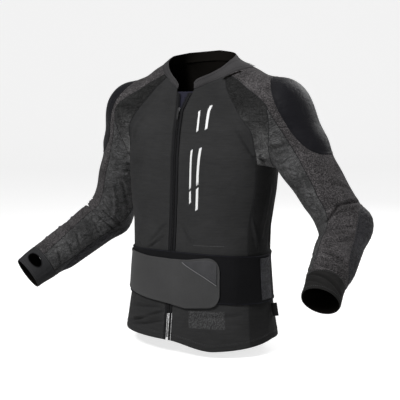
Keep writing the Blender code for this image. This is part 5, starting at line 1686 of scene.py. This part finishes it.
class JERSEY_OT_trim(bpy.types.Operator):
    """Builds the chest stripes, side tab, seam lines and stitching"""

    bl_idname = "jersey.trim"
    bl_label = "Stripes, seams and stitches"

    def execute(self, context):
        self.add_stripes()
        self.add_tab()
        self.add_seams()
        self.add_rows()
        return {"FINISHED"}

    def add_stripes(self):
        """Printed strokes of even width with slanted ends, raised a little over the chest."""
        ink, tree, shader, _, place = finish("stripe_print", 0.55, specular=0.4)
        speck = node(tree, "TexNoise", Vector=place, Scale=1100.0, Detail=2.0, Roughness=0.6)
        tone = worn(tree, place, colours().stripe, 0.04, 60.0)
        tree.links.new(tone, shader.inputs["Base Color"])
        bump(tree, shader, speck.outputs[0], 0.2, 0.0002)
        for index, (guides, half) in enumerate(STRIPES):
            line = smooth_line(np.array(guides, float) * (1, 0.001), np.linspace(0, 1, 40))
            centre = around_body(line[:, 0], -line[:, 1] / BODY_LENGTH, 0.0)
            way = outward(centre)
            side = unit(np.cross(np.gradient(centre, axis=0), way))
            side *= np.sign(side[:, :1])
            lanes = np.linspace(-1, 1, 7)
            slant = np.array([0, 0, 0.0022])
            ends = np.zeros(len(line))
            ends[:6], ends[-6:] = np.linspace(1, 0, 6), np.linspace(0, 1, 6)
            grid = centre[:, None] + side[:, None] * (lanes * half / 1000)[None, :, None]
            grid = grid + slant * (lanes[None, :] * ends[:, None])[..., None]
            grid = settle(grid)
            off = edge_distance(grid)
            grid = dressed(grid, 0.00055 - 0.0002 * np.exp(-((off / 0.0006) ** 2)))
            add_strip(f"chest_stripe_{index + 1}", grid, ink)

    def add_tab(self):
        """The folded tab in the side seam: two layers that meet in a round fold."""
        start = around_body(np.array([99.0, 99.0]), np.array([0.871, 0.921]), 0.0006)
        middle, along = start.mean(axis=0), start[0] - start[1]
        way = unit(np.cross(np.cross(along, outward(middle)), along))
        across = np.array([-way[1], way[0], 0.0])
        long = np.linalg.norm(along)
        half = np.array([
            (0.0, -0.7), (0.2, -0.75), (0.6, -0.7), (0.9, -0.6), (1.0, 0.0), (0.9, 0.6), (0.6, 0.7),
            (0.2, 0.75), (0.0, 0.7), (0.25, 0.1), (0.6, 0.05), (0.6, -0.05), (0.25, -0.1)])
        profile = half * (0.0150, 0.0011)
        rows = np.linspace(-0.5, 0.5, 12)
        ring = profile[None, :, :1] * way + profile[None, :, 1:] * across
        grid = middle + ring + (rows * long)[:, None, None] * unit(along)
        grid = np.concatenate([grid, grid[:, -1:]], axis=1)
        cloth = elastic_finish("tab_weave", (0.0085, 0.0085, 0.0090), pitch=0.0012)
        add_solid("seam_tab", [grid], cloth, "side_tab")

    def add_seams(self):
        """Flat seams: a low dark ridge of thread over each seam of the cloth."""
        thread = thread_finish("seam_thread", (0.016, 0.016, 0.017))
        for side in ARMS:
            lines = SEAMS[side]
            yoke, front, _, edges = sleeve_edges(side)
            runs = {
                "yoke_front": np.vstack([lines["raglan_front"], edges["front"][1:], yoke[1:, -1]]),
                "yoke_back": np.vstack([lines["raglan_back"], edges["back"][1:], yoke[1:, 0]]),
                "armhole": np.vstack([lines["hole_front"], lines["hole_back"][-2::-1]]),
                "chest": np.vstack([lines["chest"], lines["chest_low"][1:]]),
                "side": lines["side_seam"],
                "underarm": np.vstack([edges["under"], front[1:, -1]]),
            }
            for name, line in runs.items():
                add_strip(f"seam_{name}_{side}", strip(line, 0.0008, -0.0004, 0.0005), thread)

    def add_rows(self):
        """Rows of stitches at the hem, zip, pads and cuffs."""
        dark = thread_finish("thread_dark", colours().thread)
        pale = thread_finish("thread_pale", colours().thread_pale)
        turn = np.linspace(0, 360, 361)
        ring = around_body(turn, np.full(turn.shape, 1.0), 0.0)
        hems = []
        for rise in (0.0135, 0.0160):
            ring = np.array(ring)
            for _ in range(3):
                ring[:, 2] = hem_height(ring) + rise
                ring = settle(ring, free=(1, 1, 0))
            hems.append(ring.copy())
        add_stitches("hem_stitches", hems, pale, "chest_fabric")
        rows = np.linspace(0, 1, 200)
        beside = [
            centre_line(side, ZIP_HALF + TAPE_WIDTH + 0.0032, -0.300, rows, bottom=-BODY_LENGTH + 0.004)
            for side in ARMS]
        hidden = -(BELT_TOP - 0.004) * BODY_LENGTH, -(BELT_BOTTOM + 0.030) * BODY_LENGTH
        cut = []
        for line in beside:
            cut += [line[line[:, 2] > hidden[0]], line[line[:, 2] < hidden[1]]]
        add_stitches("zip_stitches", cut, pale, "chest_fabric")
        upper = [centre_line(side, ZIP_HALF + TAPE_WIDTH + 0.0032, NECK_FRONT - 0.003, rows, bottom=-0.298)
                 for side in ARMS]
        add_stitches("zip_stitches_dark", upper, dark, "chest_fabric")
        around = np.linspace(0, 2 * np.pi, 241)
        for (kind, side), (centre, middle, half, width, power) in PADS.items():
            spin = np.sign(np.cos(around)) * np.abs(np.cos(around)) ** (2 / power)
            rise = np.sign(np.sin(around)) * np.abs(np.sin(around)) ** (2 / power)
            long = arm_spans(ARMS[side])[3].sum()
            inset = 0.0030
            share = centre + (half - inset / long) * rise
            angle = middle + (width - np.degrees(inset / 0.055)) * spin
            line = on_arm(side, share, angle)
            add_stitches(f"{kind}_stitches_{side}", [line], dark, f"{kind}_armour", lift=0.0013)
        for side in ARMS:
            turn = np.linspace(0, 360, 181)
            lines = [on_arm(side, np.full(turn.shape, share), turn) for share in (CUFF_START + 0.007, 0.990)]
            add_stitches(f"cuff_stitches_{side}", lines, pale, "cuff_fabric")


class JERSEY_OT_stage(bpy.types.Operator):
    """Builds the floor, the studio light and the camera"""

    bl_idname = "jersey.stage"
    bl_label = "Stage"

    def execute(self, context):
        scene = context.scene
        floor_finish, tree, shader, _, place = finish("floor_paint", 0.9, specular=0.1)
        tone = worn(tree, place, (0.60, 0.60, 0.60), 0.01, 2.0)
        tree.links.new(tone, shader.inputs["Base Color"])
        # The paper glows a little for the camera alone, so it stays white without lighting the cloth
        seen = tree.nodes.new("ShaderNodeLightPath").outputs["Is Camera Ray"]
        tree.links.new(math(tree, "MULTIPLY", seen, 0.74), shader.inputs["Emission Strength"])
        shader.inputs["Emission Color"].default_value = (1, 1, 1, 1)
        # A floor that curves up into a wall far behind, as a profile carried sideways
        turn = np.linspace(0, np.pi / 2, 24)
        profile = [(-12.0, 0.0)] + [(6 + 4 * np.sin(t), 4 - 4 * np.cos(t)) for t in turn] + [(10.0, 14.0)]
        profile = np.array(profile)
        view = np.radians(34)
        ahead, side = np.array([-np.sin(view), np.cos(view), 0]), np.array([np.cos(view), np.sin(view), 0])
        middle = profile[:, :1] * ahead + profile[:, 1:] * (0, 0, 1) + (0, 0, -BODY_LENGTH - HEM_DROP - 0.012)
        grid = middle[:, None] + (np.linspace(-14, 14, 5)[:, None] * side)[None]
        quads = grid_quads(*grid.shape[:2])
        mesh = bpy.data.meshes.new("floor")
        mesh.from_pydata(grid.reshape(-1, 3).tolist(), [], quads.tolist())
        if mesh.polygons[0].normal.z < 0:
            mesh.flip_normals()
        mesh.shade_smooth()
        mesh.materials.append(floor_finish)
        floor = bpy.data.objects.new("floor", mesh)
        scene.collection.objects.link(floor)

        world = scene.world or bpy.data.worlds.new("studio")
        scene.world = world
        world.use_nodes = True
        world.node_tree.nodes["Background"].inputs[0].default_value = (1, 1, 1, 1)
        world.node_tree.nodes["Background"].inputs[1].default_value = 0.24

        right = side
        toward = -ahead
        # name, place, diameter in metres, watts
        for name, place, size, power in (
            ("key_light", right * -1.3 + toward * 1.7 + np.array([0, 0, 1.5]), 0.8, 62),
            ("fill_light", right * 1.9 + toward * 1.2 + np.array([0, 0, 0.6]), 1.6, 8),
            ("top_light", toward * -0.2 + np.array([0, 0, 2.1]), 1.2, 6),
            ("rim_light", right * 1.4 - toward * 1.5 + np.array([0, 0, 1.0]), 1.2, 26),
        ):
            data = bpy.data.lights.new(name, "AREA")
            data.shape, data.size, data.energy = "DISK", size, power
            lamp = bpy.data.objects.new(name, data)
            lamp.location = place
            aim = np.array([0, 0, -0.30]) - place
            lamp.rotation_euler = mathutils.Vector(aim.tolist()).to_track_quat("-Z", "Y").to_euler()
            scene.collection.objects.link(lamp)

        data = bpy.data.cameras.new("camera")
        data.lens, data.sensor_width = 85, 36
        camera = bpy.data.objects.new("camera", data)
        distance, rise = 2.27, np.radians(6)
        target = np.array([0, 0, -0.300]) - right * 2 * distance / (400 * 85 / 36)
        camera.location = target + distance * (toward * np.cos(rise) + np.array([0, 0, np.sin(rise)]))
        aim = mathutils.Vector((target - np.array(camera.location)).tolist())
        camera.rotation_euler = aim.to_track_quat("-Z", "Y").to_euler()
        scene.collection.objects.link(camera)
        scene.camera = camera
        scene.view_settings.view_transform = "Standard"
        return {"FINISHED"}


class JERSEY_PT_panel(bpy.types.Panel):
    """Lists the jersey's pieces, sizes and colours"""

    bl_label = "Armoured jersey"
    bl_idname = "JERSEY_PT_panel"
    bl_space_type = "VIEW_3D"
    bl_region_type = "UI"
    bl_category = "Jersey"

    def draw(self, context):
        for each in OPERATORS:
            self.layout.operator(each.bl_idname)
        for group in (context.scene.jersey_sizes, context.scene.jersey_colours):
            for name in group.__annotations__:
                self.layout.prop(group, name)


OPERATORS = (
    JERSEY_OT_setup, JERSEY_OT_body, JERSEY_OT_sleeves, JERSEY_OT_cuffs, JERSEY_OT_pads, JERSEY_OT_collar,
    JERSEY_OT_zip, JERSEY_OT_belt, JERSEY_OT_trim, JERSEY_OT_stage,
)
CLASSES = (JerseySizes, JerseyColours, *OPERATORS, JERSEY_PT_panel)


def register():
    """Adds the classes and the scene's settings."""
    for each in CLASSES:
        bpy.utils.register_class(each)
    bpy.types.Scene.jersey_sizes = PointerProperty(type=JerseySizes)
    bpy.types.Scene.jersey_colours = PointerProperty(type=JerseyColours)


def unregister():
    """Takes away the scene's settings and the classes."""
    del bpy.types.Scene.jersey_colours
    del bpy.types.Scene.jersey_sizes
    for each in reversed(CLASSES):
        bpy.utils.unregister_class(each)


def main():
    """Runs every operator in turn."""
    register()
    for each in OPERATORS:
        group, name = each.bl_idname.split(".")
        if getattr(getattr(bpy.ops, group), name)() != {"FINISHED"}:
            raise RuntimeError(f"{each.bl_label} didn't finish")


if __name__ == "__main__":
    main()
